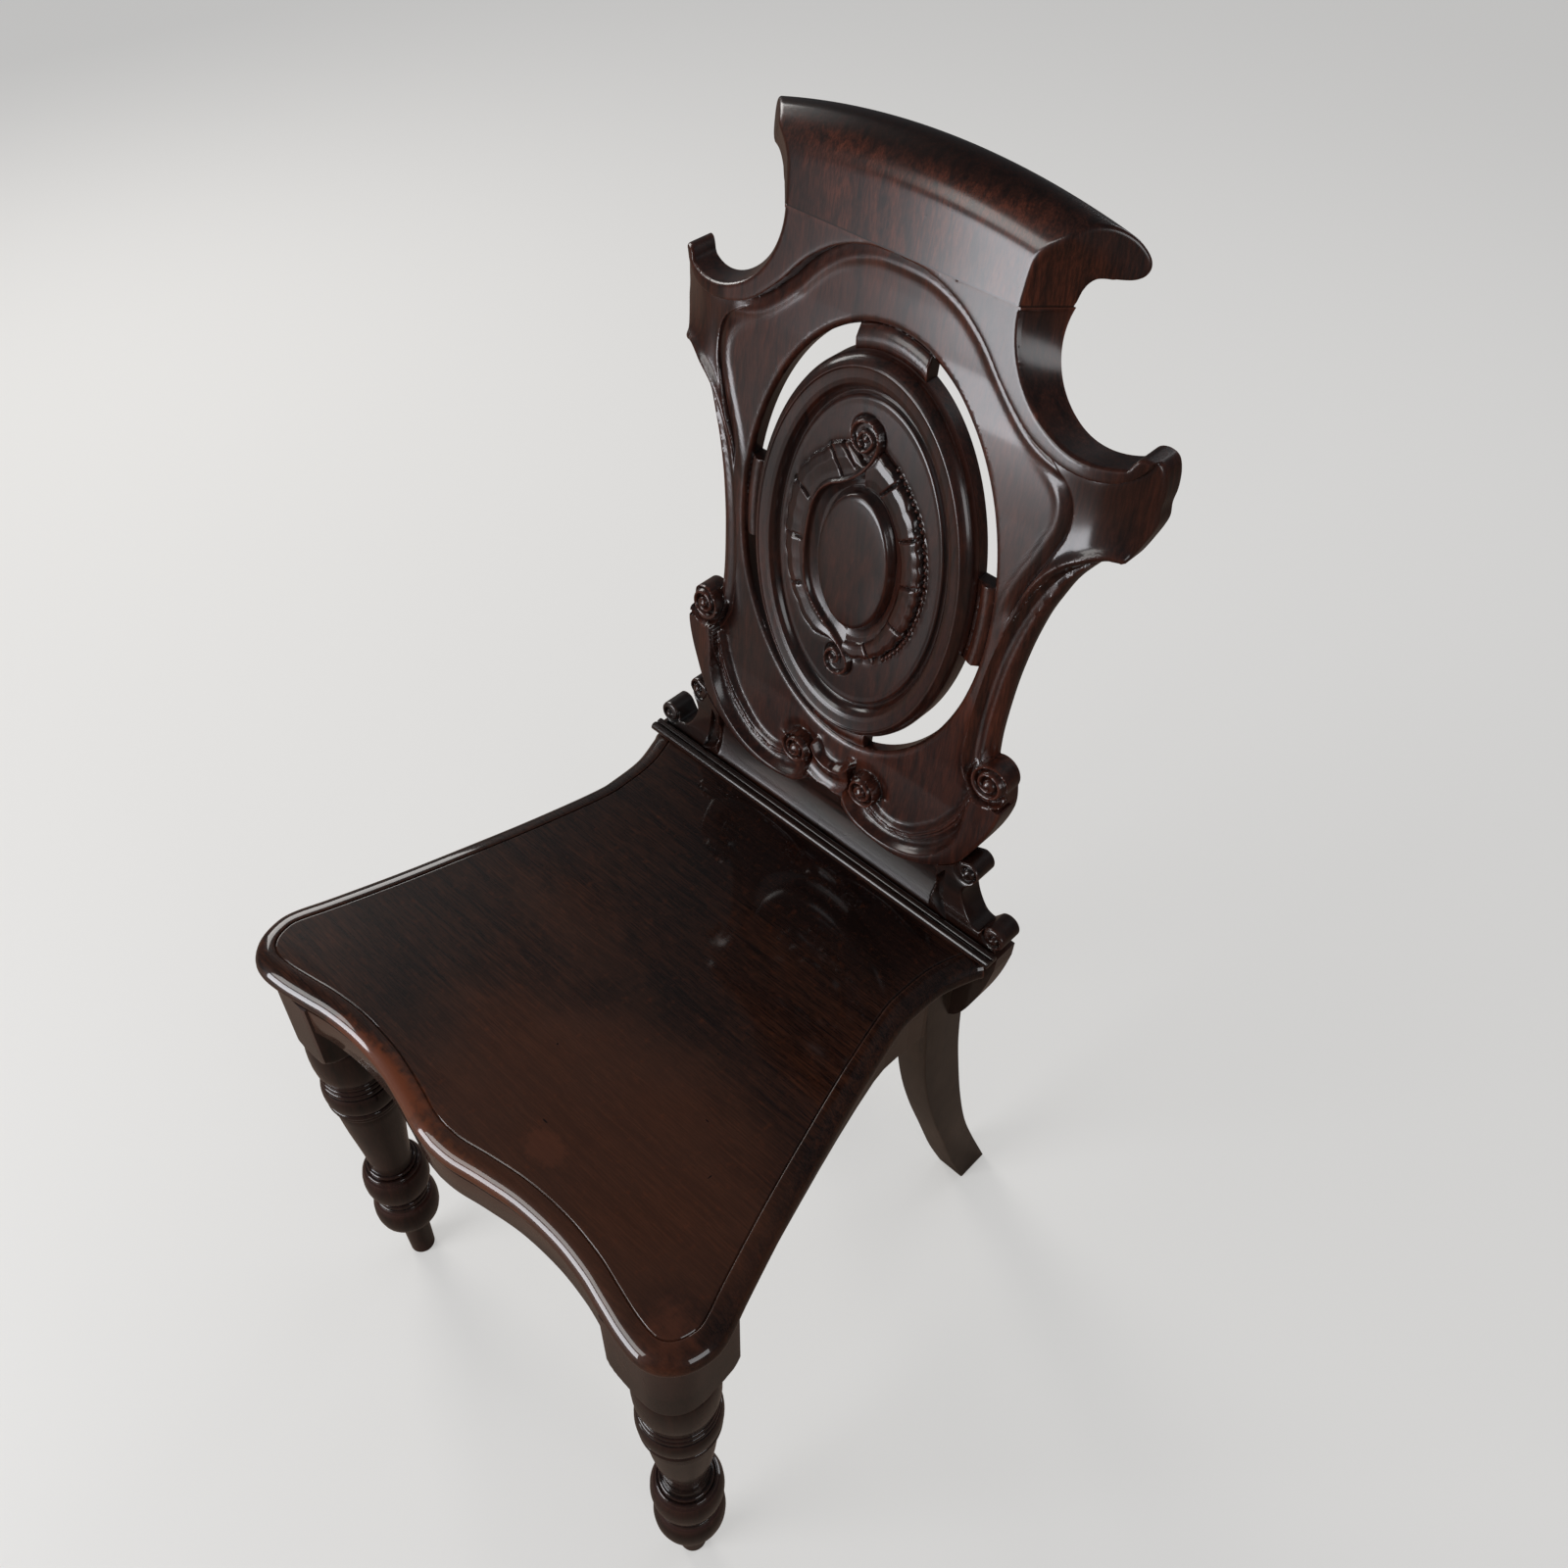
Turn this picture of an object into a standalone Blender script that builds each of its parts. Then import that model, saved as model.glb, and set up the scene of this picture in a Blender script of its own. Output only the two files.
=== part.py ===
# Mahogany hall chair with a carved, pierced shield back, turned front legs and sabre rear legs.
# Metres, +Z up. The floor is z = 0, the sitter faces -Y, and the chair is symmetrical about
# x = 0. The pieces are drawn with y = 0 at the front face of the back, where it meets the seat,
# and then moved so that the origin lies under the middle of the whole chair.

import math

import bmesh
import bpy
from mathutils import Vector

for item in list(bpy.data.objects):
    bpy.data.objects.remove(item, do_unlink=True)

# Clearances that all joints share
JOINT_GAP = 0.0003
OVERRUN = 0.004

# Seat board
SEAT_HEIGHT = 0.445
SEAT_THICKNESS = 0.020
QUIRK_HALF_WIDTH = 0.2005
QUIRK_REACH = 0.334
SEAT_EDGE_WIDTH = 0.015

# Seat rails
RAIL_DEPTH = 0.065
RAIL_THICKNESS = 0.022
FRONT_RAIL_SETBACK = 0.008
SIDE_RAIL_SETBACK = 0.015
TENON_LENGTH = 0.018
TENON_THICKNESS = 0.010
TENON_SHOULDER = 0.010
REAR_RAIL_HALF_WIDTH_SHARE = 0.943
REAR_RAIL_HEIGHT = 0.0947
CORNER_BLOCK_HEIGHT = 0.028
CORNER_BLOCK_REACH = 0.075

# Front legs
FRONT_LEG_X_SHARE = 0.8783
FRONT_LEG_REACH_SHARE = 0.9401
LEG_BLOCK_WIDTH = 0.058
LEG_CORNER_RADIUS = 0.025
BLOCK_DROP = 0.030
POMMEL_HEIGHT = 0.036
FOOT_RADIUS = 0.0105
ANKLE_RADIUS = 0.012
ANKLE_HEIGHT = 0.045

# Rear legs
REAR_LEG_OUTSIDE_SHARE = 0.6733
REAR_LEG_WIDTH = 0.028
REAR_LEG_RAKE = 0.108

# Back: the face leans and curves backwards as it rises, and the ears curve further back
BACK_LEAN_SHARE = 0.067
BACK_CURVE_RADIUS = 6.51
EAR_CURVE_START_SHARE = 0.6857
EAR_CURVE_RADIUS = 0.091
EAR_CURVE_FOOT = 0.250
EAR_CURVE_HEAD = 0.310
BACK_BOARD = 0.020
BACK_HALF_WIDTH = 0.175
BACK_JOINT_HEIGHT = 0.424
FIELD_DEPTH = 0.008
BEND_STEP = 0.035
EAR_BEND_STEP = 0.013

# Bites between crest and ears: a slanting cone, wider at the front
BITE_X_SHARE = 0.809
BITE_HEIGHT_SHARE = 0.998
BITE_RADIUS_SHARE = 0.1427
BITE_REAR_X_SHARE = 0.820
BITE_REAR_HEIGHT_SHARE = 0.968
BITE_REAR_RADIUS_SHARE = 0.1139
BITE_REAR_DEPTH = 0.017

# Oval opening, its four slots and the medallion planted in it
OVAL_HEIGHT_SHARE = 0.547
OVAL_HALF_WIDTH_SHARE = 0.569
OVAL_HALF_HEIGHT_SHARE = 0.344
SLOT_WIDTH = 0.0135
TOP_BRIDGE_HALF_WIDTH = 0.026
LOW_BRIDGE_HALF_WIDTH = 0.023
SIDE_BRIDGE_HALF_HEIGHT = 0.028
BRIDGE_DEPTH = 0.012
MEDALLION_RISE = 0.0015

# Scrolls carved on the shield
SIDE_VOLUTE_X_SHARE = 0.723
SIDE_VOLUTE_HEIGHT_SHARE = 0.3146
SIDE_VOLUTE_RADIUS = 0.0125
CENTRE_VOLUTE_X_SHARE = 0.180
CENTRE_VOLUTE_HEIGHT_SHARE = 0.1415
CENTRE_VOLUTE_RADIUS = 0.0105
VOLUTE_EYE_RADIUS = 0.0032
VOLUTE_TURNS = 1.25
SPIRAL_HALF_WIDTH = 0.0012
CHANNEL_HALF_WIDTH = 0.0040
GROOVE_DEPTH_SHARE = 1.6

# Plinth with its two brackets
LOW_KNOB_X_SHARE = 0.898
LOW_KNOB_HEIGHT_SHARE = 0.030
LOW_KNOB_RADIUS = 0.0088
HIGH_KNOB_X_SHARE = 0.7286
HIGH_KNOB_HEIGHT_SHARE = 0.1297
HIGH_KNOB_RADIUS = 0.0085
SCOOP_DEPTH = 0.005
SCOOP_HALF_HEIGHT = 0.026
SCOOP_HALF_WIDTH_SHARE = 0.594
LAP_HALF_WIDTH_SHARE = 0.640
LAP_HEIGHT = 0.078
LAP_DEPTH = 0.013
PLINTH_TENON_X_SHARE = 0.457
PLINTH_TENON_HALF_WIDTH = 0.018
PLINTH_TENON_LENGTH = 0.025

# Crest rail
CREST_HEIGHT = 0.0386
CREST_DEPTH = 0.037
CREST_HALF_WIDTH_SHARE = 0.7314
CREST_ARCH = 0.016
CREST_ARCH_START = 0.014
CREST_END_X_SHARE = 0.520
CREST_TONGUE_HALF_WIDTH_SHARE = 0.343
CREST_TONGUE_THICKNESS = 0.005
CREST_TONGUE_LENGTH = 0.014

# Reeded strip along the foot of the back
STRIP_HALF_WIDTH_SHARE = 0.9423
STRIP_WIDTH = 0.011
STRIP_HEIGHT = 0.005

# Curve fineness
LEG_SIDES = 20
ARC_STEPS = 8
OVAL_SIDES = 40
BEAD_SIDES = 6
SEAT_STEPS = 2

# Line of the quirk on the seat, from the back to the middle of the front edge
QUIRK_SHARES = (
    (0.748, -0.006), (0.728, 0.030), (0.686, 0.108), (0.676, 0.192), (0.683, 0.257),
    (0.741, 0.410), (0.808, 0.560), (0.878, 0.707), (0.955, 0.850), (0.995, 0.916),
    (1.000, 0.946), (0.978, 0.979), (0.933, 0.997), (0.853, 0.995), (0.753, 0.983),
    (0.643, 0.969), (0.499, 0.961), (0.329, 0.965), (0.178, 0.981), (0.070, 0.996),
    (0.000, 1.000),
)

# Section of the seat's edge, outwards and downwards from the quirk
SEAT_EDGE_SHARES = (
    (-0.06, 0.00), (0.00, 0.08), (0.07, 0.02), (0.45, 0.05), (0.74, 0.15), (0.93, 0.32),
    (1.00, 0.52), (0.94, 0.72), (0.78, 0.89), (0.60, 1.00),
)

# End of the rear rail below the seat
REAR_RAIL_SHARES = (
    (0.997, 0.86), (0.973, 0.64), (0.940, 0.424), (0.897, 0.208), (0.858, 0.072),
    (0.818, 0.000),
)

# Side view of a rear leg: backward reach and height, of the rake and the rail's foot
REAR_LEG_FRONT_SHARES = (
    (-0.305, 1.000), (-0.280, 0.920), (-0.240, 0.840), (-0.176, 0.689), (-0.074, 0.563),
    (0.074, 0.434), (0.259, 0.297), (0.472, 0.140), (0.694, 0.000),
)
REAR_LEG_BACK_SHARES = (
    (1.000, 0.000), (0.704, 0.186), (0.528, 0.311), (0.380, 0.457), (0.259, 0.611),
    (0.194, 0.720), (0.157, 0.857), (0.157, 1.000),
)

# Right half of the back board, in shares of its half width and joint height
EAR_SHARES = (
    (0.977, 0.877), (0.994, 0.854), (1.000, 0.825), (0.994, 0.806), (1.000, 0.788),
    (0.993, 0.774), (0.981, 0.758), (0.966, 0.741), (0.949, 0.726), (0.926, 0.721),
    (0.891, 0.718),
)
WAIST_SHARES = (
    (0.891, 0.718), (0.840, 0.693), (0.808, 0.672), (0.781, 0.644), (0.752, 0.608),
    (0.726, 0.561), (0.709, 0.519), (0.697, 0.476), (0.689, 0.422), (0.687, 0.377),
    (0.688, 0.350),
)
HIP_SHARES = (
    (0.799, 0.290), (0.801, 0.276), (0.799, 0.263), (0.787, 0.242), (0.769, 0.218),
    (0.744, 0.193), (0.717, 0.167), (0.680, 0.137), (0.626, 0.115), (0.547, 0.091),
    (0.463, 0.074), (0.389, 0.065), (0.310, 0.064), (0.230, 0.067), (0.154, 0.076),
    (0.091, 0.096), (0.034, 0.099), (0.000, 0.100),
)

# Edge of the sunk field: ogee under the crest, arc beside the ear, waist, and the hollow below
OGEE_SHARES = (
    (0.000, 1.009), (0.120, 1.005), (0.238, 0.983), (0.330, 0.955), (0.389, 0.930),
    (0.448, 0.903), (0.541, 0.869), (0.609, 0.849),
)
EAR_FIELD_SHARES = (
    (0.614, 0.836), (0.662, 0.825), (0.711, 0.810), (0.740, 0.795), (0.755, 0.778),
    (0.762, 0.757), (0.757, 0.736), (0.800, 0.716), (0.950, 0.700),
)
LOW_FIELD_SHARES = (
    (0.950, 0.352), (0.645, 0.352), (0.636, 0.288), (0.636, 0.240), (0.598, 0.197),
    (0.553, 0.167), (0.498, 0.141), (0.431, 0.118), (0.360, 0.105), (0.298, 0.104),
    (0.256, 0.118), (0.246, 0.145), (0.222, 0.166), (0.180, 0.173), (0.132, 0.166),
    (0.098, 0.166), (0.069, 0.150), (0.000, 0.142),
)

# Middle of the channel that runs from the side volute round the hip to the centre volute
CHANNEL_SHARES = (
    (0.664, 0.267), (0.659, 0.238), (0.646, 0.2075), (0.623, 0.180), (0.583, 0.152),
    (0.529, 0.125), (0.460, 0.105), (0.391, 0.0915), (0.329, 0.085), (0.269, 0.085),
    (0.211, 0.0915), (0.160, 0.103), (0.132, 0.119),
)

# Notch of the bracket, between its two knobs
NOTCH_SHARES = (
    (0.850, 0.030), (0.833, 0.029), (0.798, 0.032), (0.767, 0.045), (0.738, 0.066),
    (0.725, 0.084), (0.728, 0.100),
)

# Section of the crest rail: backwards and upwards from the joint at its front edge
CREST_SHARES = (
    (0.000, 0.000), (0.000, 0.544), (0.041, 0.648), (0.108, 0.741), (0.176, 0.878),
    (0.259, 0.951), (0.403, 1.000), (0.549, 0.997), (0.700, 0.950), (0.830, 0.860),
    (0.930, 0.740), (0.990, 0.600), (0.975, 0.470), (0.865, 0.389), (0.703, 0.366),
    (0.590, 0.340), (0.548, 0.240), (0.5405, 0.000),
)

# Rings of the medallion: width and height of its oval, and depth behind its highest point
MEDALLION_SHARES = (
    (1.000, 1.000, 1.00), (1.000, 1.000, 0.50), (0.975, 0.982, 0.26), (0.930, 0.950, 0.16),
    (0.870, 0.905, 0.22), (0.810, 0.858, 0.42), (0.745, 0.800, 0.72), (0.715, 0.772, 0.56),
    (0.690, 0.750, 0.56), (0.560, 0.585, 0.56), (0.520, 0.545, 0.30), (0.450, 0.480, 0.24),
    (0.400, 0.425, 0.34), (0.362, 0.388, 0.62), (0.333, 0.361, 0.30), (0.310, 0.335, 0.12),
    (0.220, 0.240, 0.03), (0.110, 0.120, 0.00),
)

# Turned front leg, from ankle to block: height and half height of each bead in shares of the
# block's foot height, its radius and that of the groove above it in shares of the block's half
LEG_BEAD_SHARES = (
    (0.253, 0.065, 0.948, 0.793), (0.409, 0.061, 0.948, 0.672), (0.509, 0.015, 0.707, 0.621),
)
LEG_RING_SHARES = (
    (0.779, 0.018, 0.914, 0.879), (0.824, 0.024, 1.000, 0.897), (0.870, 0.018, 0.948, 0.903),
    (0.954, 0.045, 1.000, 0.938),
)
SHAFT_TOP_HEIGHT_SHARE = 0.727
SHAFT_TOP_RADIUS_SHARE = 0.800


def smooth(points, steps):
    """Points along a curve through the given ones (Catmull-Rom), ends kept."""
    ends = [points[0]] + list(points) + [points[-1]]
    curve = []
    for i in range(1, len(ends) - 2):
        before, start, end, after = (Vector(p) for p in ends[i - 1:i + 3])
        for k in range(steps):
            t = k / steps
            turn = 3 * (start - end) + after - before
            ease = 2 * before - 5 * start + 4 * end - after
            curve.append(0.5 * (2 * start + (end - before) * t + ease * t * t + turn * t ** 3))
    curve.append(Vector(points[-1]))
    return curve


def arc(x, height, radius, first, last, steps):
    """Points on a circle, angles in degrees from +X."""
    angles = (math.radians(first + (last - first) * i / steps) for i in range(steps + 1))
    return [Vector((x + radius * math.cos(a), height + radius * math.sin(a))) for a in angles]


def sized(shares, width, height):
    return [Vector((width * u, height * v)) for u, v in shares]


def moved_out(curve, distance):
    """A half outline moved outwards, square to itself; it stays level at the centre line."""
    moved = []
    last = len(curve) - 1
    for i, point in enumerate(curve):
        along = curve[min(i + 1, last)] - curve[max(i - 1, 0)]
        if abs(point.x) < JOINT_GAP / 2:
            along.y = 0
        along.normalize()
        moved.append(point + distance * Vector((-along.y, along.x)))
    return moved


def both_sides(half):
    """A half outline from right to centre line, completed on the left."""
    left = [Vector((-p.x, p.y)) for p in reversed(half)]
    if abs(half[-1].x) < JOINT_GAP / 2:
        left = left[1:]
    if abs(half[0].x) < JOINT_GAP / 2:
        left = left[:-1]
    return list(half) + left


def front_view(u, v, depth):
    return Vector((u, depth, v))


def side_view(u, v, depth):
    return Vector((depth, u, v))


def plan_view(u, v, depth):
    return Vector((u, v, depth))


def new_piece(name, bm):
    bmesh.ops.remove_doubles(bm, verts=bm.verts, dist=JOINT_GAP / 10)
    bmesh.ops.recalc_face_normals(bm, faces=bm.faces)
    mesh = bpy.data.meshes.new(name)
    bm.to_mesh(mesh)
    bm.free()
    piece = bpy.data.objects.new(name, mesh)
    bpy.context.scene.collection.objects.link(piece)
    return piece


def prism(name, outline, near, far, view):
    """A flat outline pushed through from one depth to another."""
    bm = bmesh.new()
    face = bm.faces.new([bm.verts.new(view(p.x, p.y, near)) for p in outline])
    pushed = bmesh.ops.extrude_face_region(bm, geom=[face])
    corners = [v for v in pushed["geom"] if isinstance(v, bmesh.types.BMVert)]
    bmesh.ops.translate(bm, verts=corners, vec=view(0, 0, far) - view(0, 0, near))
    return new_piece(name, bm)


def box(name, low, high):
    corners = (Vector((low[0], low[1])), Vector((high[0], low[1])),
               Vector((high[0], high[1])), Vector((low[0], high[1])))
    return prism(name, corners, low[2], high[2], plan_view)


def loft(name, rings):
    """Closed rings of equal count joined in turn, with the two end rings capped."""
    bm = bmesh.new()
    rows = [[bm.verts.new(point) for point in ring] for ring in rings]
    for low, high in zip(rows, rows[1:]):
        for i in range(len(low)):
            j = (i + 1) % len(low)
            bm.faces.new((low[i], low[j], high[j], high[i]))
    bm.faces.new(rows[0])
    bm.faces.new(rows[-1])
    return new_piece(name, bm)


def turned(name, profile, x, y, sides):
    """A profile of (radius, height) pairs spun about an upright axis."""
    bm = bmesh.new()
    verts = [bm.verts.new((p[0], 0, p[1])) for p in profile]
    edges = [bm.edges.new(pair) for pair in zip(verts, verts[1:])]
    bmesh.ops.spin(bm, geom=verts + edges, cent=(0, 0, 0), axis=(0, 0, 1),
                   angle=math.tau, steps=sides, use_merge=True)
    bmesh.ops.remove_doubles(bm, verts=bm.verts, dist=JOINT_GAP / 10)
    bmesh.ops.translate(bm, verts=bm.verts, vec=(x, y, 0))
    return new_piece(name, bm)


def work(piece, tool, operation):
    """Cut, join or intersect a piece with a tool, which is used up."""
    step = piece.modifiers.new("work", "BOOLEAN")
    step.operation = operation
    step.solver = "EXACT"
    step.object = tool
    depsgraph = bpy.context.evaluated_depsgraph_get()
    mesh = bpy.data.meshes.new_from_object(piece.evaluated_get(depsgraph))
    piece.modifiers.remove(step)
    piece.data = mesh
    bpy.data.objects.remove(tool, do_unlink=True)


def cut(piece, tool):
    work(piece, tool, "DIFFERENCE")


def join(piece, tool):
    work(piece, tool, "UNION")


def mirrored(piece, name):
    """A left-hand twin of a right-hand piece."""
    bm = bmesh.new()
    bm.from_mesh(piece.data)
    bmesh.ops.scale(bm, verts=bm.verts, vec=(-1, 1, 1))
    bmesh.ops.reverse_faces(bm, faces=bm.faces)
    mesh = bpy.data.meshes.new(name)
    bm.to_mesh(mesh)
    bm.free()
    twin = bpy.data.objects.new(name, mesh)
    bpy.context.scene.collection.objects.link(twin)
    return twin


def setback(x, z):
    """How far the front of the back lies behind y = 0 at a place on it."""
    h = max(z - SEAT_HEIGHT, 0)
    lean = BACK_LEAN_SHARE * h + h * h / (2 * BACK_CURVE_RADIUS)
    rise = (h - EAR_CURVE_FOOT) / (EAR_CURVE_HEAD - EAR_CURVE_FOOT)
    rise = min(max(rise, 0), 1)
    reach = max(abs(x) - EAR_CURVE_START, 0)
    return lean + rise * rise * (3 - 2 * rise) * reach * reach / (2 * EAR_CURVE_RADIUS)


def bend_back(piece):
    """Bend a flat-made piece of the back to its leaning, curving face."""
    bm = bmesh.new()
    bm.from_mesh(piece.data)
    levels = math.ceil((BACK_JOINT_HEIGHT + CREST_HEIGHT) / BEND_STEP)
    cuts = [((0, 0, SEAT_HEIGHT + BEND_STEP * i), (0, 0, 1)) for i in range(1, levels + 1)]
    ear_cuts = math.ceil((BACK_HALF_WIDTH - EAR_CURVE_START) / EAR_BEND_STEP)
    for side in (-1, 1):
        reaches = [EAR_CURVE_START + EAR_BEND_STEP * i for i in range(ear_cuts)]
        cuts += [((side * reach, 0, 0), (1, 0, 0)) for reach in reaches]
    for point, normal in cuts:
        everything = list(bm.verts) + list(bm.edges) + list(bm.faces)
        bmesh.ops.bisect_plane(bm, geom=everything, dist=JOINT_GAP / 30,
                               plane_co=point, plane_no=normal)
    bmesh.ops.triangulate(bm, faces=bm.faces)
    for vert in bm.verts:
        vert.co.y += setback(vert.co.x, vert.co.z)
    bm.to_mesh(piece.data)
    bm.free()


def finish(piece, colour, roughness):
    """Place the piece, give it its own polished-wood material and smooth its round parts."""
    piece.location.y = CENTRING
    material = bpy.data.materials.new(piece.name + "_mahogany")
    material.use_nodes = True
    shader = material.node_tree.nodes["Principled BSDF"]
    shader.inputs["Base Color"].default_value = (*colour, 1)
    shader.inputs["Roughness"].default_value = roughness
    shader.inputs["Metallic"].default_value = 0
    piece.data.materials.clear()
    piece.data.materials.append(material)
    piece.data.shade_smooth()
    piece.data.set_sharp_from_angle(angle=math.radians(32))


DARK_MAHOGANY = (0.035, 0.012, 0.008)
RED_MAHOGANY = (0.085, 0.024, 0.012)
RAIL_MAHOGANY = (0.060, 0.035, 0.022)
SECONDARY_WOOD = (0.250, 0.130, 0.060)

RAIL_TOP = SEAT_HEIGHT - SEAT_THICKNESS
RAIL_FOOT = RAIL_TOP - RAIL_DEPTH
BLOCK_FOOT_HEIGHT = RAIL_FOOT - BLOCK_DROP
FRONT_LEG_X = QUIRK_HALF_WIDTH * FRONT_LEG_X_SHARE
FRONT_LEG_Y = -QUIRK_REACH * FRONT_LEG_REACH_SHARE
REAR_LEG_OUTSIDE_X = QUIRK_HALF_WIDTH * REAR_LEG_OUTSIDE_SHARE
BITE_X = BACK_HALF_WIDTH * BITE_X_SHARE
BITE_HEIGHT = BACK_JOINT_HEIGHT * BITE_HEIGHT_SHARE
BITE_RADIUS = BACK_JOINT_HEIGHT * BITE_RADIUS_SHARE
BITE_REAR_X = BACK_HALF_WIDTH * BITE_REAR_X_SHARE
BITE_REAR_HEIGHT = BACK_JOINT_HEIGHT * BITE_REAR_HEIGHT_SHARE
BITE_REAR_RADIUS = BACK_JOINT_HEIGHT * BITE_REAR_RADIUS_SHARE
OVAL_HEIGHT = BACK_JOINT_HEIGHT * OVAL_HEIGHT_SHARE
OVAL_HALF_WIDTH = BACK_HALF_WIDTH * OVAL_HALF_WIDTH_SHARE
OVAL_HALF_HEIGHT = BACK_JOINT_HEIGHT * OVAL_HALF_HEIGHT_SHARE
SIDE_VOLUTE_X = BACK_HALF_WIDTH * SIDE_VOLUTE_X_SHARE
SIDE_VOLUTE_HEIGHT = BACK_JOINT_HEIGHT * SIDE_VOLUTE_HEIGHT_SHARE
CENTRE_VOLUTE_X = BACK_HALF_WIDTH * CENTRE_VOLUTE_X_SHARE
CENTRE_VOLUTE_HEIGHT = BACK_JOINT_HEIGHT * CENTRE_VOLUTE_HEIGHT_SHARE
LOW_KNOB_X = BACK_HALF_WIDTH * LOW_KNOB_X_SHARE
LOW_KNOB_HEIGHT = BACK_JOINT_HEIGHT * LOW_KNOB_HEIGHT_SHARE
HIGH_KNOB_X = BACK_HALF_WIDTH * HIGH_KNOB_X_SHARE
HIGH_KNOB_HEIGHT = BACK_JOINT_HEIGHT * HIGH_KNOB_HEIGHT_SHARE
EAR_CURVE_START = BACK_HALF_WIDTH * EAR_CURVE_START_SHARE
SCOOP_HALF_WIDTH = BACK_HALF_WIDTH * SCOOP_HALF_WIDTH_SHARE
LAP_HALF_WIDTH = BACK_HALF_WIDTH * LAP_HALF_WIDTH_SHARE
PLINTH_TENON_X = BACK_HALF_WIDTH * PLINTH_TENON_X_SHARE
REAR_RAIL_HALF_WIDTH = BACK_HALF_WIDTH * REAR_RAIL_HALF_WIDTH_SHARE
STRIP_HALF_WIDTH = BACK_HALF_WIDTH * STRIP_HALF_WIDTH_SHARE
CREST_HALF_WIDTH = BACK_HALF_WIDTH * CREST_HALF_WIDTH_SHARE
CREST_END_X = BACK_HALF_WIDTH * CREST_END_X_SHARE
CREST_TONGUE_HALF_WIDTH = BACK_HALF_WIDTH * CREST_TONGUE_HALF_WIDTH_SHARE
CENTRING = (QUIRK_REACH + SEAT_EDGE_WIDTH - REAR_LEG_RAKE) / 2


def seat_line(distance):
    """The whole line of the quirk, moved outwards, from right rear round to left rear."""
    half = smooth(sized(QUIRK_SHARES, QUIRK_HALF_WIDTH, -QUIRK_REACH), SEAT_STEPS)
    return both_sides(moved_out(half, distance))


# Seat board: flat top, quirk and rounded thumb moulding round three sides
def seat_board():
    rings = []
    for out_share, down_share in SEAT_EDGE_SHARES:
        level = SEAT_HEIGHT - SEAT_THICKNESS * down_share
        line = seat_line(SEAT_EDGE_WIDTH * out_share)
        rings.append([plan_view(p.x, p.y, level) for p in line])
    seat = loft("seat_board", rings)
    bm = bmesh.new()
    bm.from_mesh(seat.data)
    everything = list(bm.verts) + list(bm.edges) + list(bm.faces)
    bmesh.ops.bisect_plane(bm, geom=everything, dist=JOINT_GAP / 30, clear_outer=True,
                           plane_co=(0, -JOINT_GAP, 0), plane_no=(0, 1, 0))
    bmesh.ops.holes_fill(bm, edges=[e for e in bm.edges if e.is_boundary])
    bm.to_mesh(seat.data)
    bm.free()
    finish(seat, DARK_MAHOGANY, 0.3)


def rail_band(setback, spare, wanted):
    """Plan outline of a rail under the wanted stretch of the quirk, grown by a clearance."""
    outer = SEAT_EDGE_WIDTH - setback
    quirk = seat_line(0)
    outside = seat_line(outer + spare)
    inside = seat_line(outer - RAIL_THICKNESS - spare)
    outside = [p for q, p in zip(quirk, outside) if wanted(q)]
    inside = [p for q, p in zip(quirk, inside) if wanted(q)]
    return outside + inside[::-1]


# Front rail: serpentine like the seat's edge, tenoned into both leg blocks
def front_rail(name, spare, foot, top):
    band = rail_band(FRONT_RAIL_SETBACK, spare,
                     lambda q: abs(q.x) < FRONT_LEG_X and q.y < FRONT_LEG_Y)
    rail = prism(name, band, foot, top, plan_view)
    length = FRONT_LEG_X - LEG_BLOCK_WIDTH / 2 - JOINT_GAP
    trim = box("trim", (-length, FRONT_LEG_Y - LEG_BLOCK_WIDTH, foot - OVERRUN),
               (length, FRONT_LEG_Y + LEG_BLOCK_WIDTH, top + OVERRUN))
    work(rail, trim, "INTERSECT")
    return rail


def front_tenon(name, side, spare):
    """Tongue from the front rail's end into a leg block, or its mortise."""
    shoulder = FRONT_LEG_X - LEG_BLOCK_WIDTH / 2
    rear = FRONT_LEG_Y - LEG_BLOCK_WIDTH / 2 + RAIL_THICKNESS
    start = shoulder - TENON_SHOULDER
    end = shoulder + TENON_LENGTH + spare
    low = (min(side * start, side * end), rear - TENON_THICKNESS - spare,
           RAIL_FOOT + TENON_SHOULDER - spare)
    high = (max(side * start, side * end), rear + spare, RAIL_TOP - TENON_SHOULDER + spare)
    return box(name, low, high)


# Side rail: concave like the seat's side, from the front block to the rear leg
def side_rail(name, spare, foot, top):
    band = rail_band(SIDE_RAIL_SETBACK, spare, lambda q: q.x > 0 and q.y > FRONT_LEG_Y)
    rail = prism(name, band, foot, top, plan_view)
    start = FRONT_LEG_Y + LEG_BLOCK_WIDTH / 2 + JOINT_GAP
    end = rear_leg_face() - JOINT_GAP
    trim = box("trim", (0, start, foot - OVERRUN), (QUIRK_HALF_WIDTH, end, top + OVERRUN))
    work(rail, trim, "INTERSECT")
    return rail


def rear_leg_face():
    """The flat front of the rear leg, where the side rail meets it."""
    return REAR_LEG_FRONT_SHARES[0][0] * REAR_LEG_RAKE


def side_tenon_front(name, spare):
    shoulder = FRONT_LEG_Y + LEG_BLOCK_WIDTH / 2
    middle = FRONT_LEG_X + TENON_THICKNESS / 2
    low = (middle - TENON_THICKNESS / 2 - spare, shoulder - TENON_LENGTH - spare,
           RAIL_FOOT + TENON_SHOULDER - spare)
    high = (middle + TENON_THICKNESS / 2 + spare, shoulder + TENON_SHOULDER,
            RAIL_TOP - TENON_SHOULDER + spare)
    return box(name, low, high)


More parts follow.
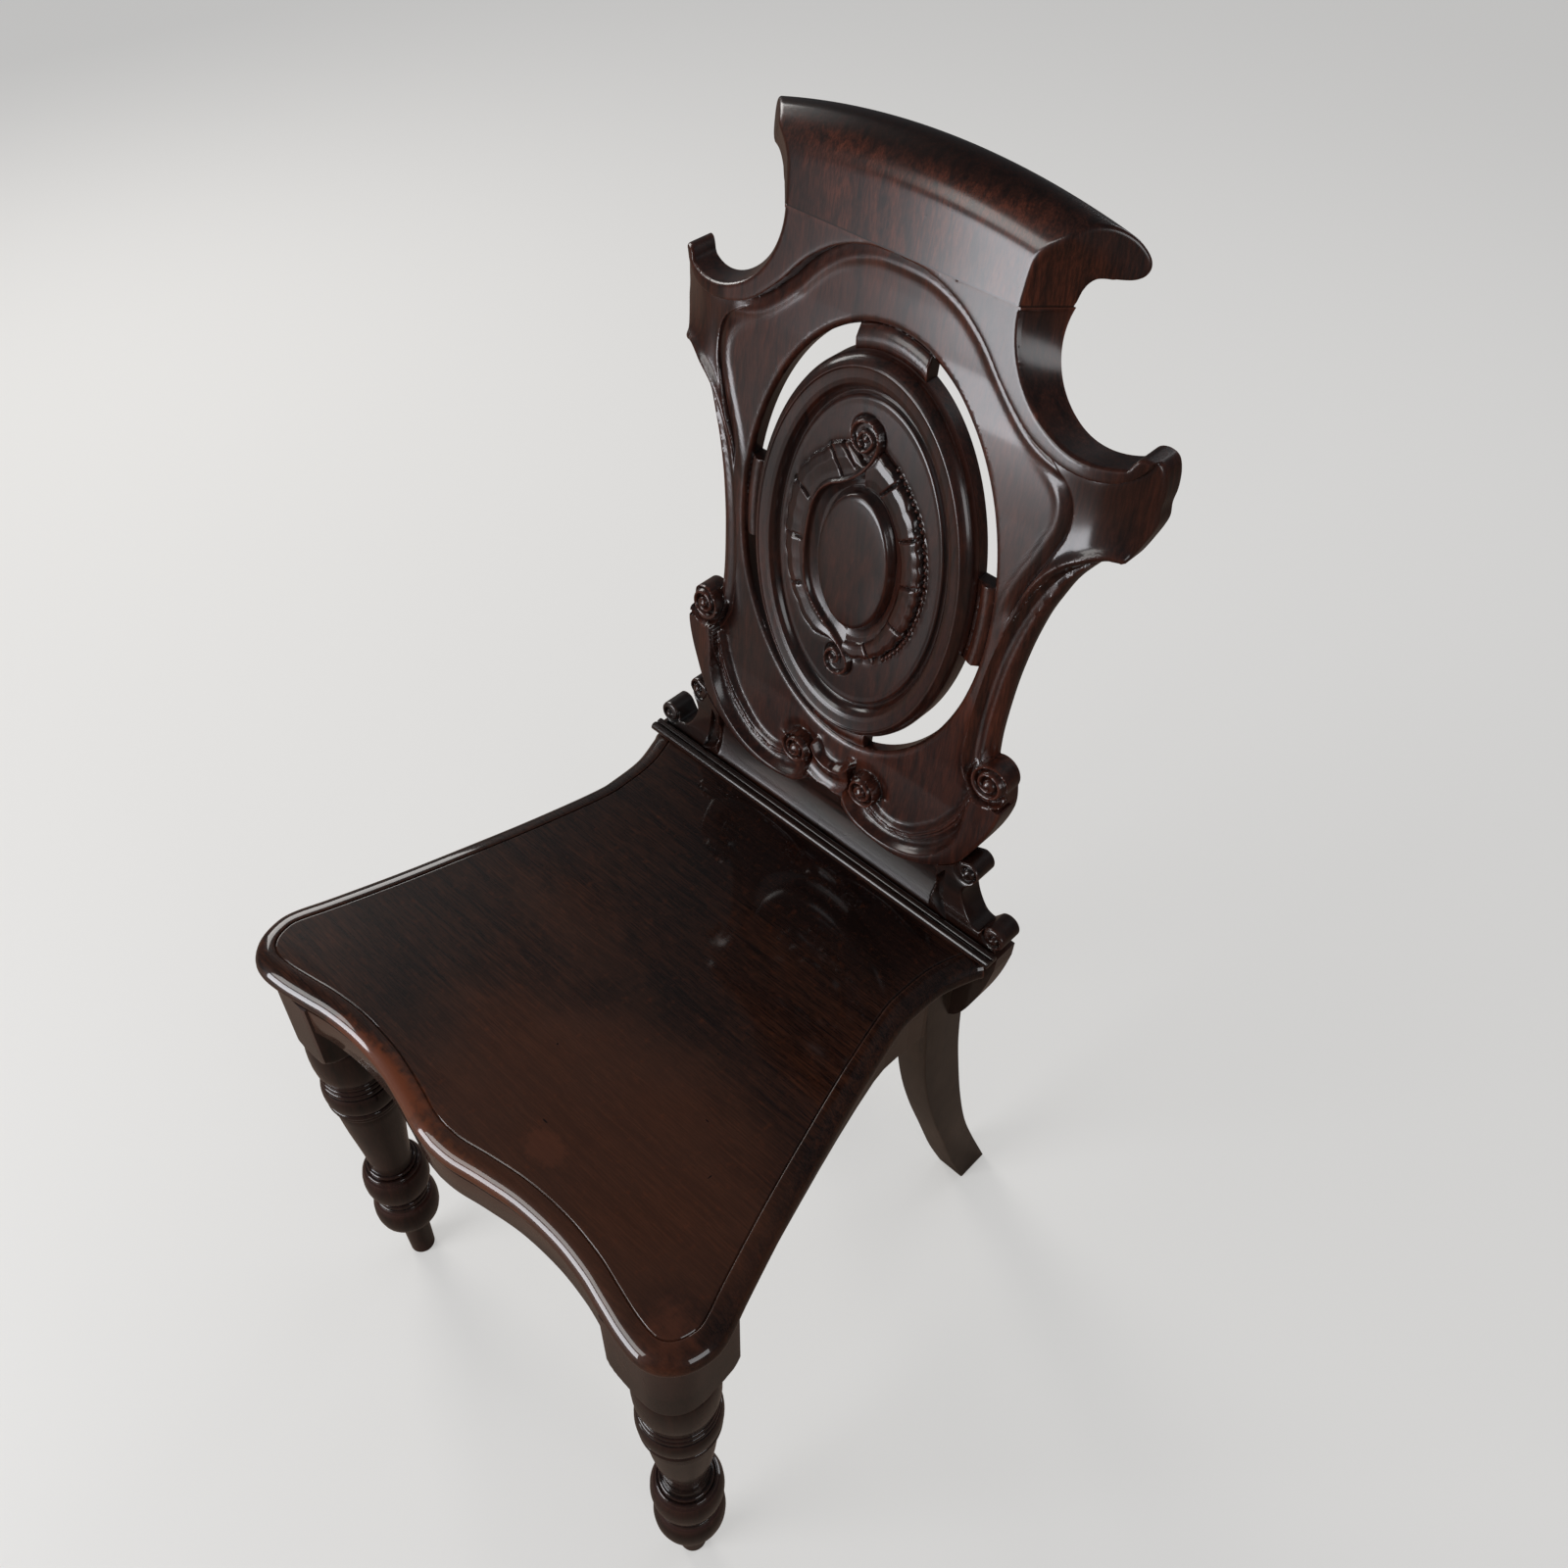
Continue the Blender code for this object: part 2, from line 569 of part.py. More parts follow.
def side_tenon_rear(name, spare):
    shoulder = rear_leg_face()
    middle = REAR_LEG_OUTSIDE_X - REAR_LEG_WIDTH / 3
    low = (middle - TENON_THICKNESS / 2 - spare, shoulder - TENON_SHOULDER,
           RAIL_FOOT + TENON_SHOULDER - spare)
    high = (middle + TENON_THICKNESS / 2 + spare, shoulder + TENON_LENGTH + spare,
            RAIL_TOP - TENON_SHOULDER + spare)
    return box(name, low, high)


def seat_rails():
    top = RAIL_TOP - JOINT_GAP
    front = front_rail("front_seat_rail", 0, RAIL_FOOT, top)
    for side in (-1, 1):
        join(front, front_tenon("tenon", side, 0))
    finish(front, DARK_MAHOGANY, 0.35)
    right = side_rail("right_seat_rail", 0, RAIL_FOOT, top)
    join(right, side_tenon_front("tenon", 0))
    join(right, side_tenon_rear("tenon", 0))
    left = mirrored(right, "left_seat_rail")
    for rail in (right, left):
        finish(rail, RAIL_MAHOGANY, 0.4)


# Rear rail: a board on edge behind the seat, its ends sweeping in to the rear legs
def rear_rail_foot():
    return SEAT_HEIGHT - REAR_RAIL_HEIGHT


def plinth_tenon(name, side, spare):
    middle = side * PLINTH_TENON_X
    half = PLINTH_TENON_HALF_WIDTH + spare
    third = BACK_BOARD / 3
    return box(name, (middle - half, third - spare, SEAT_HEIGHT - PLINTH_TENON_LENGTH - spare),
               (middle + half, 2 * third + spare, SEAT_HEIGHT + TENON_SHOULDER))


def rear_seat_rail():
    end = sized(REAR_RAIL_SHARES, REAR_RAIL_HALF_WIDTH, REAR_RAIL_HEIGHT)
    half = [Vector((REAR_RAIL_HALF_WIDTH, REAR_RAIL_HEIGHT))] + smooth(end, 3)
    outline = [Vector((p.x, p.y + rear_rail_foot())) for p in both_sides(half)]
    rail = prism("rear_seat_rail", outline, 0, BACK_BOARD, front_view)
    for side in (-1, 1):
        cut(rail, plinth_tenon("mortise", side, JOINT_GAP))
    finish(rail, DARK_MAHOGANY, 0.35)


# Front leg: square block under the seat's corner, pommel shoulder, turned beads and shaft
def bead(height, half_height, radius, root):
    steps = BEAD_SIDES
    curve = []
    for i in range(steps + 1):
        angle = math.pi * (i / steps - 0.5)
        swell = math.cos(angle) ** 0.7 if 0 < i < steps else 0
        curve.append((root + (radius - root) * swell, height + half_height * math.sin(angle)))
    return curve


def leg_beads(shares):
    half = LEG_BLOCK_WIDTH / 2
    curve = []
    for height, half_height, radius, groove in shares:
        curve += bead(height * BLOCK_FOOT_HEIGHT, half_height * BLOCK_FOOT_HEIGHT,
                      radius * half, groove * half)
    return curve


def leg_profile():
    waist = LEG_BLOCK_WIDTH / 2
    profile = [(0, 0), (FOOT_RADIUS, 0), (ANKLE_RADIUS, ANKLE_HEIGHT)]
    profile += leg_beads(LEG_BEAD_SHARES)
    profile.append((waist * SHAFT_TOP_RADIUS_SHARE, BLOCK_FOOT_HEIGHT * SHAFT_TOP_HEIGHT_SHARE))
    profile += leg_beads(LEG_RING_SHARES)
    corner = LEG_BLOCK_WIDTH / math.sqrt(2) + OVERRUN
    for i in range(ARC_STEPS + 1):
        turn = math.pi / 2 * i / ARC_STEPS
        profile.append((waist + (corner - waist) * math.sin(turn),
                        BLOCK_FOOT_HEIGHT + POMMEL_HEIGHT * (1 - math.cos(turn))))
    profile.append((corner, RAIL_TOP - JOINT_GAP))
    profile.append((0, RAIL_TOP - JOINT_GAP))
    return profile


def leg_block(name, spare, foot, top):
    """Square envelope of the leg, rounded at the corner that faces out of the chair."""
    half = LEG_BLOCK_WIDTH / 2 + spare
    radius = LEG_CORNER_RADIUS
    plan = [Vector((FRONT_LEG_X - half, FRONT_LEG_Y - half))]
    plan += arc(FRONT_LEG_X + half - radius, FRONT_LEG_Y - half + radius, radius,
                -90, 0, ARC_STEPS)
    plan += [Vector((FRONT_LEG_X + half, FRONT_LEG_Y + half)),
             Vector((FRONT_LEG_X - half, FRONT_LEG_Y + half))]
    return prism(name, plan, foot, top, plan_view)


def front_legs():
    right = turned("front_right_leg", leg_profile(), FRONT_LEG_X, FRONT_LEG_Y, LEG_SIDES)
    work(right, leg_block("square", 0, -OVERRUN, RAIL_TOP), "INTERSECT")
    cut(right, front_tenon("mortise", 1, JOINT_GAP))
    cut(right, side_tenon_front("mortise", JOINT_GAP))
    left = mirrored(right, "front_left_leg")
    for leg in (right, left):
        finish(leg, DARK_MAHOGANY, 0.25)


# Rear leg: sabre curve cut from a square length, notched over the rear rail
def rear_legs():
    foot = rear_rail_foot() - JOINT_GAP
    front = smooth(sized(REAR_LEG_FRONT_SHARES, REAR_LEG_RAKE, foot), 3)
    back = smooth(sized(REAR_LEG_BACK_SHARES, REAR_LEG_RAKE, foot), 3)
    top = RAIL_TOP - JOINT_GAP
    outline = [Vector((front[0].x, top))] + front + back
    outline += [Vector((-JOINT_GAP, foot)), Vector((-JOINT_GAP, top))]
    right = prism("rear_right_leg", outline, REAR_LEG_OUTSIDE_X - REAR_LEG_WIDTH,
                  REAR_LEG_OUTSIDE_X, side_view)
    cut(right, side_tenon_rear("mortise", JOINT_GAP))
    left = mirrored(right, "rear_left_leg")
    for leg in (right, left):
        finish(leg, RAIL_MAHOGANY, 0.35)


# Corner blocks: fillets of plain wood screwed behind the corners of the seat frame
def corner_blocks():
    top = RAIL_TOP - JOINT_GAP
    foot = top - CORNER_BLOCK_HEIGHT
    reach = CORNER_BLOCK_REACH
    low = foot - OVERRUN
    high = top + OVERRUN
    x = FRONT_LEG_X - RAIL_THICKNESS / 2
    y = FRONT_LEG_Y
    fillet = [Vector((x, y)), Vector((x, y + reach)), Vector((x - reach, y))]
    front = prism("front_right_corner_block", fillet, foot, top, plan_view)
    cut(front, leg_block("clear", JOINT_GAP, low, high))
    cut(front, front_rail("clear", JOINT_GAP, low, high))
    cut(front, side_rail("clear", JOINT_GAP, low, high))
    x = REAR_LEG_OUTSIDE_X
    y = -JOINT_GAP
    fillet = [Vector((x, y)), Vector((x - reach, y)), Vector((x, y - reach))]
    rear = prism("rear_right_corner_block", fillet, foot, top, plan_view)
    cut(rear, box("clear", (x - REAR_LEG_WIDTH - JOINT_GAP, rear_leg_face() - JOINT_GAP, low),
                  (x + OVERRUN, OVERRUN, high)))
    cut(rear, side_rail("clear", JOINT_GAP, low, high))
    blocks = [front, rear]
    blocks.append(mirrored(front, "front_left_corner_block"))
    blocks.append(mirrored(rear, "rear_left_corner_block"))
    for block in blocks:
        finish(block, SECONDARY_WOOD, 0.6)


def on_back(shares):
    """Points on the back board, from shares, at their height above the floor."""
    points = sized(shares, BACK_HALF_WIDTH, BACK_JOINT_HEIGHT)
    return [Vector((p.x, p.y + SEAT_HEIGHT)) for p in points]


# Both bites: slanting cones that cut crest and ears in one sweep
def bite(side):
    depths = (-BACK_BOARD, 0, BITE_REAR_DEPTH, CREST_DEPTH + 2 * BACK_BOARD)
    rings = []
    for depth in depths:
        share = depth / BITE_REAR_DEPTH
        x = BITE_X + (BITE_REAR_X - BITE_X) * share
        height = BITE_HEIGHT + (BITE_REAR_HEIGHT - BITE_HEIGHT) * share
        radius = BITE_RADIUS + (BITE_REAR_RADIUS - BITE_RADIUS) * share
        circle = arc(x, SEAT_HEIGHT + height, max(radius, OVERRUN), 0, 360, OVAL_SIDES)[:-1]
        rings.append([front_view(side * p.x, p.y, depth) for p in circle])
    return loft("bite", rings)


def field_cutter():
    """The sunk field: ogee, ear arcs, open waist and the hollow between the scrolls."""
    half = smooth(on_back(OGEE_SHARES), 3) + smooth(on_back(EAR_FIELD_SHARES), 2)
    half += smooth(on_back(LOW_FIELD_SHARES), 2)
    return prism("field", both_sides(half), -OVERRUN, FIELD_DEPTH, front_view)


def shield_foot():
    """Lower edge of the shield, from the side volute to the centre line."""
    return smooth(on_back(HIP_SHARES), 2)


def oval(half_width, half_height, first, last, steps):
    """Part of an upright oval, angles clockwise from its top."""
    points = []
    for i in range(steps + 1):
        angle = first + (last - first) * i / steps
        points.append(Vector((half_width * math.sin(angle),
                              SEAT_HEIGHT + OVAL_HEIGHT + half_height * math.cos(angle))))
    return points


def slot(side, upper):
    """One of the four curved slots between opening and medallion."""
    half_width = TOP_BRIDGE_HALF_WIDTH if upper else LOW_BRIDGE_HALF_WIDTH
    steps = OVAL_SIDES // 4
    lines = []
    for inset in (0, SLOT_WIDTH):
        width = OVAL_HALF_WIDTH - inset
        height = OVAL_HALF_HEIGHT - inset
        first = math.asin(half_width / width)
        last = math.acos(SIDE_BRIDGE_HALF_HEIGHT / height)
        if not upper:
            first = math.pi - first
            last = math.pi - last
        lines.append(oval(width, height, first, last, steps))
    outline = lines[0] + lines[1][::-1]
    outline = [Vector((side * p.x, p.y)) for p in outline]
    return prism("slot", outline, 0, BACK_BOARD + OVERRUN, front_view)


def volute(x, height, radius, first):
    """Middle of a spiral groove that winds in, clockwise, to the eye of a scroll."""
    points = []
    steps = round(1.5 * ARC_STEPS * VOLUTE_TURNS)
    for i in range(steps + 1):
        share = i / steps
        angle = math.radians(first) - math.tau * VOLUTE_TURNS * share
        reach = radius + (VOLUTE_EYE_RADIUS - radius) * share
        points.append(Vector((x + reach * math.cos(angle), height + reach * math.sin(angle))))
    return points


def scroll_groove(side):
    """Cutter for the channel on one hip and the spirals it runs into at its two ends."""
    reach = SIDE_VOLUTE_RADIUS - 2 * SPIRAL_HALF_WIDTH
    start = volute(SIDE_VOLUTE_X, SEAT_HEIGHT + SIDE_VOLUTE_HEIGHT, reach, 205)[::-1]
    reach = CENTRE_VOLUTE_RADIUS - 2 * SPIRAL_HALF_WIDTH
    end = volute(CENTRE_VOLUTE_X, SEAT_HEIGHT + CENTRE_VOLUTE_HEIGHT, reach, 185)
    hip = on_back(CHANNEL_SHARES)
    line = start + hip + end
    rings = []
    for i, point in enumerate(line):
        along = line[min(i + 1, len(line) - 1)] - line[max(i - 1, 0)]
        along.normalize()
        across = Vector((-along.y, along.x))
        share = min(max((i - len(start)) / (len(hip) - 1), 0), 1)
        half = SPIRAL_HALF_WIDTH + (CHANNEL_HALF_WIDTH - SPIRAL_HALF_WIDTH) * math.sin(math.pi * share)
        ring = []
        for k in range(BEAD_SIDES):
            angle = math.tau * k / BEAD_SIDES
            place = point + across * half * math.cos(angle)
            depth = half * (GROOVE_DEPTH_SHARE * math.sin(angle) - 0.1)
            ring.append(front_view(side * place.x, place.y, depth))
        rings.append(ring)
    return loft("groove", rings)


# Back board: shield with ears, sunk field, pierced oval, volutes and hip scrolls
def back_panel():
    reach = BITE_X - BITE_RADIUS
    half = [Vector((0, SEAT_HEIGHT + BACK_JOINT_HEIGHT))]
    half.append(Vector((BACK_HALF_WIDTH / 2, SEAT_HEIGHT + BACK_JOINT_HEIGHT)))
    half.append(Vector((reach + BITE_RADIUS, SEAT_HEIGHT + BITE_HEIGHT)))
    half += smooth(on_back(EAR_SHARES), 2)[:-1] + smooth(on_back(WAIST_SHARES), 2)
    half += arc(SIDE_VOLUTE_X, SEAT_HEIGHT + SIDE_VOLUTE_HEIGHT, SIDE_VOLUTE_RADIUS,
                115, -18, ARC_STEPS)
    half += shield_foot()
    panel = prism("back_panel", both_sides(half), 0, BACK_BOARD, front_view)
    cut(panel, field_cutter())
    for side in (-1, 1):
        disc = arc(side * SIDE_VOLUTE_X, SEAT_HEIGHT + SIDE_VOLUTE_HEIGHT, SIDE_VOLUTE_RADIUS,
                   0, 360, 3 * ARC_STEPS)[:-1]
        join(panel, prism("volute", disc, 0, BACK_BOARD / 2, front_view))
        cut(panel, bite(side))
        cut(panel, scroll_groove(side))
    hollow = oval(OVAL_HALF_WIDTH, OVAL_HALF_HEIGHT, 0, math.tau, OVAL_SIDES)[:-1]
    cut(panel, prism("hollow", hollow, -OVERRUN, BRIDGE_DEPTH, front_view))
    for side in (-1, 1):
        for upper in (True, False):
            cut(panel, slot(side, upper))
    cut(panel, crest_tongue("mortise", JOINT_GAP))
    cut(panel, lap("rebate", JOINT_GAP))
    finish_back(panel, RED_MAHOGANY, 0.3)


def finish_back(piece, colour, roughness):
    bend_back(piece)
    finish(piece, colour, roughness)


def lap(name, spare):
    """Tongue of the plinth behind the foot of the shield, or the rebate for it."""
    half = LAP_HALF_WIDTH + spare
    low = (-half, LAP_DEPTH - spare, SEAT_HEIGHT + SCOOP_HALF_HEIGHT / 2)
    high = (half, BACK_BOARD + 2 * spare, SEAT_HEIGHT + LAP_HEIGHT + spare)
    return box(name, low, high)


# Plinth: coved board under the shield, with a two-knobbed bracket at each end
def back_plinth():
    foot = SEAT_HEIGHT + JOINT_GAP
    half = [Vector((0, foot)), Vector((LOW_KNOB_X + LOW_KNOB_RADIUS / 2, foot))]
    half += arc(LOW_KNOB_X, SEAT_HEIGHT + LOW_KNOB_HEIGHT, LOW_KNOB_RADIUS,
                -60, 130, ARC_STEPS)
    half += smooth(on_back(NOTCH_SHARES), 2)
    half += arc(HIGH_KNOB_X, SEAT_HEIGHT + HIGH_KNOB_HEIGHT, HIGH_KNOB_RADIUS,
                -40, 90, ARC_STEPS)
    half.append(Vector((0, SEAT_HEIGHT + HIGH_KNOB_HEIGHT + HIGH_KNOB_RADIUS)))
    plinth = prism("back_plinth", both_sides(half), 0, BACK_BOARD, front_view)
    radius = (SCOOP_HALF_HEIGHT ** 2 + SCOOP_DEPTH ** 2) / (2 * SCOOP_DEPTH)
    middle = SEAT_HEIGHT + STRIP_HEIGHT + SCOOP_HALF_HEIGHT
    scoop = arc(SCOOP_DEPTH - radius, middle, radius, 0, 360, 4 * OVAL_SIDES)[:-1]
    cut(plinth, prism("scoop", scoop, -SCOOP_HALF_WIDTH, SCOOP_HALF_WIDTH, side_view))
    shield = moved_out(shield_foot(), JOINT_GAP)
    roof = SEAT_HEIGHT + 2 * LAP_HEIGHT
    shield = [Vector((shield[0].x, roof))] + shield
    cut(plinth, prism("shield", both_sides(shield), -OVERRUN, BACK_BOARD + OVERRUN, front_view))
    join(plinth, lap("lap", 0))
    for side in (-1, 1):
        join(plinth, plinth_tenon("tenon", side, 0))
    finish_back(plinth, DARK_MAHOGANY, 0.35)


def crest_tongue(name, spare):
    """Tongue under the crest rail, or the groove for it in the back board."""
    middle = (BRIDGE_DEPTH + 2 * FIELD_DEPTH) / 2
    half = CREST_TONGUE_THICKNESS / 2 + spare
    joint = SEAT_HEIGHT + BACK_JOINT_HEIGHT
    return box(name, (-CREST_TONGUE_HALF_WIDTH - spare, middle - half,
                      joint - CREST_TONGUE_LENGTH - spare),
               (CREST_TONGUE_HALF_WIDTH + spare, middle + half, joint + TENON_SHOULDER))


# Crest rail: scrolled-over top, arched, with splayed ends
def crest_rail():
    joint = SEAT_HEIGHT + BACK_JOINT_HEIGHT + JOINT_GAP
    section = sized(CREST_SHARES, CREST_DEPTH, CREST_HEIGHT)
    rings = []
    stations = 2 * ARC_STEPS
    for i in range(stations + 1):
        share = 2 * i / stations - 1
        arch = CREST_ARCH * (1 - share * share)
        ring = []
        for p in section:
            lift = arch * min(p.y / CREST_ARCH_START, 1)
            ring.append(Vector((share * CREST_HALF_WIDTH, p.x, joint + p.y + lift)))
        rings.append(ring)
    crest = loft("crest_rail", rings)
    reach = CREST_HALF_WIDTH
    for side in (-1, 1):
        splay = [Vector((side * (CREST_END_X - reach), -reach)),
                 Vector((side * (CREST_END_X + reach), reach)),
                 Vector((side * (CREST_END_X + 2 * reach), -reach))]
        cut(crest, prism("splay", splay, joint - OVERRUN, joint + reach, plan_view))
        cut(crest, bite(side))
    cut(crest, field_cutter())
    join(crest, crest_tongue("tongue", 0))
    finish_back(crest, RED_MAHOGANY, 0.25)


# Medallion: carved oval boss glued on the disc that the bridges hold
def medallion():
    half_width = OVAL_HALF_WIDTH - SLOT_WIDTH
    half_height = OVAL_HALF_HEIGHT - SLOT_WIDTH
    rings = []
    relief = BRIDGE_DEPTH - JOINT_GAP + MEDALLION_RISE
    for width_share, height_share, depth_share in MEDALLION_SHARES:
        ring = oval(half_width * width_share, half_height * height_share, 0, math.tau,
                    OVAL_SIDES)[:-1]
        rings.append([front_view(p.x, p.y, relief * depth_share - MEDALLION_RISE)
                      for p in ring])
    boss = loft("medallion", rings)
    finish_back(boss, DARK_MAHOGANY, 0.25)


# Reeded strip: two beads side by side, covering the joint between seat and back
def seat_moulding():
    reed = STRIP_WIDTH / 4
    rear = -JOINT_GAP
    foot = SEAT_HEIGHT + JOINT_GAP
    level = foot + STRIP_HEIGHT - reed
    section = [Vector((rear - STRIP_WIDTH, foot)), Vector((rear, foot))]
    for middle in (rear - reed, rear - 3 * reed):
        section += arc(middle, level, reed, 0, 180, ARC_STEPS)
    strip = prism("seat_moulding", section, -STRIP_HALF_WIDTH, STRIP_HALF_WIDTH, side_view)
    finish(strip, DARK_MAHOGANY, 0.25)


seat_board()
seat_rails()
rear_seat_rail()
front_legs()
rear_legs()
corner_blocks()
back_panel()
back_plinth()
crest_rail()
medallion()
seat_moulding()
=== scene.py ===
import math

import bmesh
import bpy
import numpy as np
from mathutils import Matrix, Vector, geometry


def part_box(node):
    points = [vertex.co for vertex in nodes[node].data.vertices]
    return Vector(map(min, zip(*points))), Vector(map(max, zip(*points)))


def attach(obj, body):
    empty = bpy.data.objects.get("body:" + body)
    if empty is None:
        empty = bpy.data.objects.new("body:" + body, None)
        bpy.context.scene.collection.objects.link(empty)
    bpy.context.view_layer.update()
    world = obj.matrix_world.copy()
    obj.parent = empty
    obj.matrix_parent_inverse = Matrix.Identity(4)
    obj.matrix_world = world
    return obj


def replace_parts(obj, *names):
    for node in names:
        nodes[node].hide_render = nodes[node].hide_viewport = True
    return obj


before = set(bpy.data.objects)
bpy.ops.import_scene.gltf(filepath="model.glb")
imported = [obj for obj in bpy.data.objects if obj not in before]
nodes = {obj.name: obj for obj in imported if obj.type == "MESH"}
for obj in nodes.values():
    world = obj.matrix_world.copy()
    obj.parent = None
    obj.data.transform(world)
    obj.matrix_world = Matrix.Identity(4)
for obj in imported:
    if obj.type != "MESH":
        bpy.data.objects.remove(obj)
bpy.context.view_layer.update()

# Camera. It stands off the chair's right front corner, above the crest,
# and looks down on seat and back, as the photograph does.
CAMERA_PLACE = (0.4427, -0.3948, 1.2141)
CAMERA_AZIMUTH = 42.752
CAMERA_ELEVATION = 46.657
CAMERA_ROLL = 1.195
CAMERA_LENS = 32.31
camera = bpy.data.objects.new("camera", bpy.data.cameras.new("camera"))
bpy.context.scene.collection.objects.link(camera)
camera.data.lens = CAMERA_LENS
camera.data.clip_start = 0.01
camera.matrix_world = (
    Matrix.Translation(CAMERA_PLACE)
    @ Matrix.Rotation(math.radians(CAMERA_AZIMUTH), 4, "Z")
    @ Matrix.Rotation(math.radians(90 - CAMERA_ELEVATION), 4, "X")
    @ Matrix.Rotation(math.radians(CAMERA_ROLL), 4, "Z")
)
bpy.context.scene.camera = camera

# Studio. A pale floor runs out into a world of the same tone. Both look paler to the camera
# than to the chair, so that the dark polish keeps its depth. Large soft lamps stand round
# the chair as windows would.
FLOOR_PALE = (0.40, 0.395, 0.385)
FLOOR_GLOW = (0.36, 0.355, 0.345)
FLOOR_SEEN_BY_CHAIR = (0.13, 0.094, 0.072)
FLOOR_RADIUS = 7.0
SKY = (0.93, 0.95, 1.0)
SKY_SEEN = 0.70
SKY_LIGHT = 0.42
SKY_MIRRORED = 0.06
BLACK = (0, 0, 0)
WHITE = (1, 1, 1)


def grey(level):
    return level, level, level


def colour_mix(tree, share, first, second, way="MIX"):
    """Mixes two colours by a share. Each of the three is a value or another node's output."""
    node = tree.nodes.new("ShaderNodeMix")
    node.data_type = "RGBA"
    node.blend_type = way
    if isinstance(share, float):
        node.inputs["Factor"].default_value = share
    else:
        tree.links.new(share, node.inputs["Factor"])
    targets = [s for s in node.inputs if s.type == "RGBA"]
    for target, colour in zip(targets, (first, second)):
        if isinstance(colour, tuple):
            target.default_value = (*colour, 1)
        else:
            tree.links.new(colour, target)
    return [s for s in node.outputs if s.type == "RGBA"][0]


def by_ray(tree, ray, first, second):
    """A colour that is first for most rays and second for the named kind."""
    path = tree.nodes.new("ShaderNodeLightPath")
    return colour_mix(tree, path.outputs[ray], first, second)


bm = bmesh.new()
bmesh.ops.create_circle(bm, cap_ends=True, segments=96, radius=FLOOR_RADIUS)
floor_mesh = bpy.data.meshes.new("floor")
bm.to_mesh(floor_mesh)
bm.free()
floor = bpy.data.objects.new("floor", floor_mesh)
bpy.context.scene.collection.objects.link(floor)
floor_finish = bpy.data.materials.new("pale_floor")
floor_finish.use_nodes = True
floor_shader = floor_finish.node_tree.nodes["Principled BSDF"]
floor_tone = by_ray(floor_finish.node_tree, "Is Camera Ray", FLOOR_SEEN_BY_CHAIR, FLOOR_PALE)
floor_finish.node_tree.links.new(floor_tone, floor_shader.inputs["Base Color"])
floor_glow = by_ray(floor_finish.node_tree, "Is Camera Ray", BLACK, FLOOR_GLOW)
floor_finish.node_tree.links.new(floor_glow, floor_shader.inputs["Emission Color"])
floor_shader.inputs["Emission Strength"].default_value = 1
floor_shader.inputs["Roughness"].default_value = 0.85
floor_shader.inputs["Specular IOR Level"].default_value = 0.2
floor_mesh.materials.append(floor_finish)

world = bpy.data.worlds.new("soft_daylight")
world.use_nodes = True
sky_tree = world.node_tree
sky_levels = [tuple(c * level for c in SKY) for level in (SKY_LIGHT, SKY_MIRRORED, SKY_SEEN)]
sky_tone = by_ray(sky_tree, "Is Glossy Ray", sky_levels[0], sky_levels[1])
sky_tone = by_ray(sky_tree, "Is Camera Ray", sky_tone, sky_levels[2])
sky_tree.links.new(sky_tone, sky_tree.nodes["Background"].inputs["Color"])
bpy.context.scene.world = world
bpy.context.scene.view_settings.view_transform = "Standard"


def soft_lamp(name, place, target, width, height, power, colour):
    """A rectangular lamp at a place, turned towards a target."""
    light = bpy.data.lights.new(name, "AREA")
    light.shape = "RECTANGLE"
    light.size = width
    light.size_y = height
    light.energy = power
    light.color = colour
    lamp = bpy.data.objects.new(name, light)
    bpy.context.scene.collection.objects.link(lamp)
    lamp.location = place
    lamp.rotation_euler = (Vector(target) - Vector(place)).to_track_quat("-Z", "Y").to_euler()


CHAIR_MIDDLE = (0, 0, 0.5)
soft_lamp("window_lamp", (-0.9, -2.7, 1.75), CHAIR_MIDDLE,
          width=1.7, height=1.0, power=26, colour=(1.0, 0.99, 0.97))
soft_lamp("low_window_lamp", (-0.62, -1.75, 0.42), (0.05, 0.15, 0.72),
          width=1.0, height=0.7, power=21, colour=(0.94, 0.95, 1.0))
soft_lamp("left_lamp", (-2.3, 0.3, 1.7), CHAIR_MIDDLE,
          width=1.2, height=1.2, power=26, colour=(1.0, 0.98, 0.95))
soft_lamp("side_window_lamp", (2.3, -0.45, 1.0), CHAIR_MIDDLE,
          width=0.9, height=0.8, power=8, colour=(0.97, 0.98, 1.0))
soft_lamp("rim_lamp", (0.3, 2.2, 1.8), CHAIR_MIDDLE,
          width=1.6, height=0.4, power=8, colour=(0.95, 0.97, 1.0))

# Front legs. Each is one mahogany square, left square under the seat's corner with the
# outer corner rounded, and turned below it: pommel shoulder, ringed cup, tapered shaft,
# ball and reel, and a plain foot. The seat rails are tenoned into the block.
SEAT_HEIGHT = 0.445
RAIL_TOP = 0.425
JOINT_GAP = 0.0003
CENTRING = 0.1205
FRONT_LEG_PLACE = (0.1761, -0.314 + CENTRING)
BLOCK_HALF = 0.029
BLOCK_CORNER = 0.025
BLOCK_EASING = 0.002
BLOCK_FOOT = 0.352
POMMEL_HEIGHT = 0.024
POMMEL_FLARE = 0.015
POMMEL_STEPS = 12
BEAD_STEPS = 8
BEAD_FULLNESS = 0.8
LEG_SIDES = 96
LEG_WELD = 0.00002
FOOT_TURNING = ((0.0000, 0.0), (0.0098, 0.0), (0.0105, 0.0008), (0.0110, 0.020), (0.0116, 0.045),
                (0.0124, 0.058), (0.0140, 0.0635), (0.0180, 0.0650), (0.0205, 0.0655))
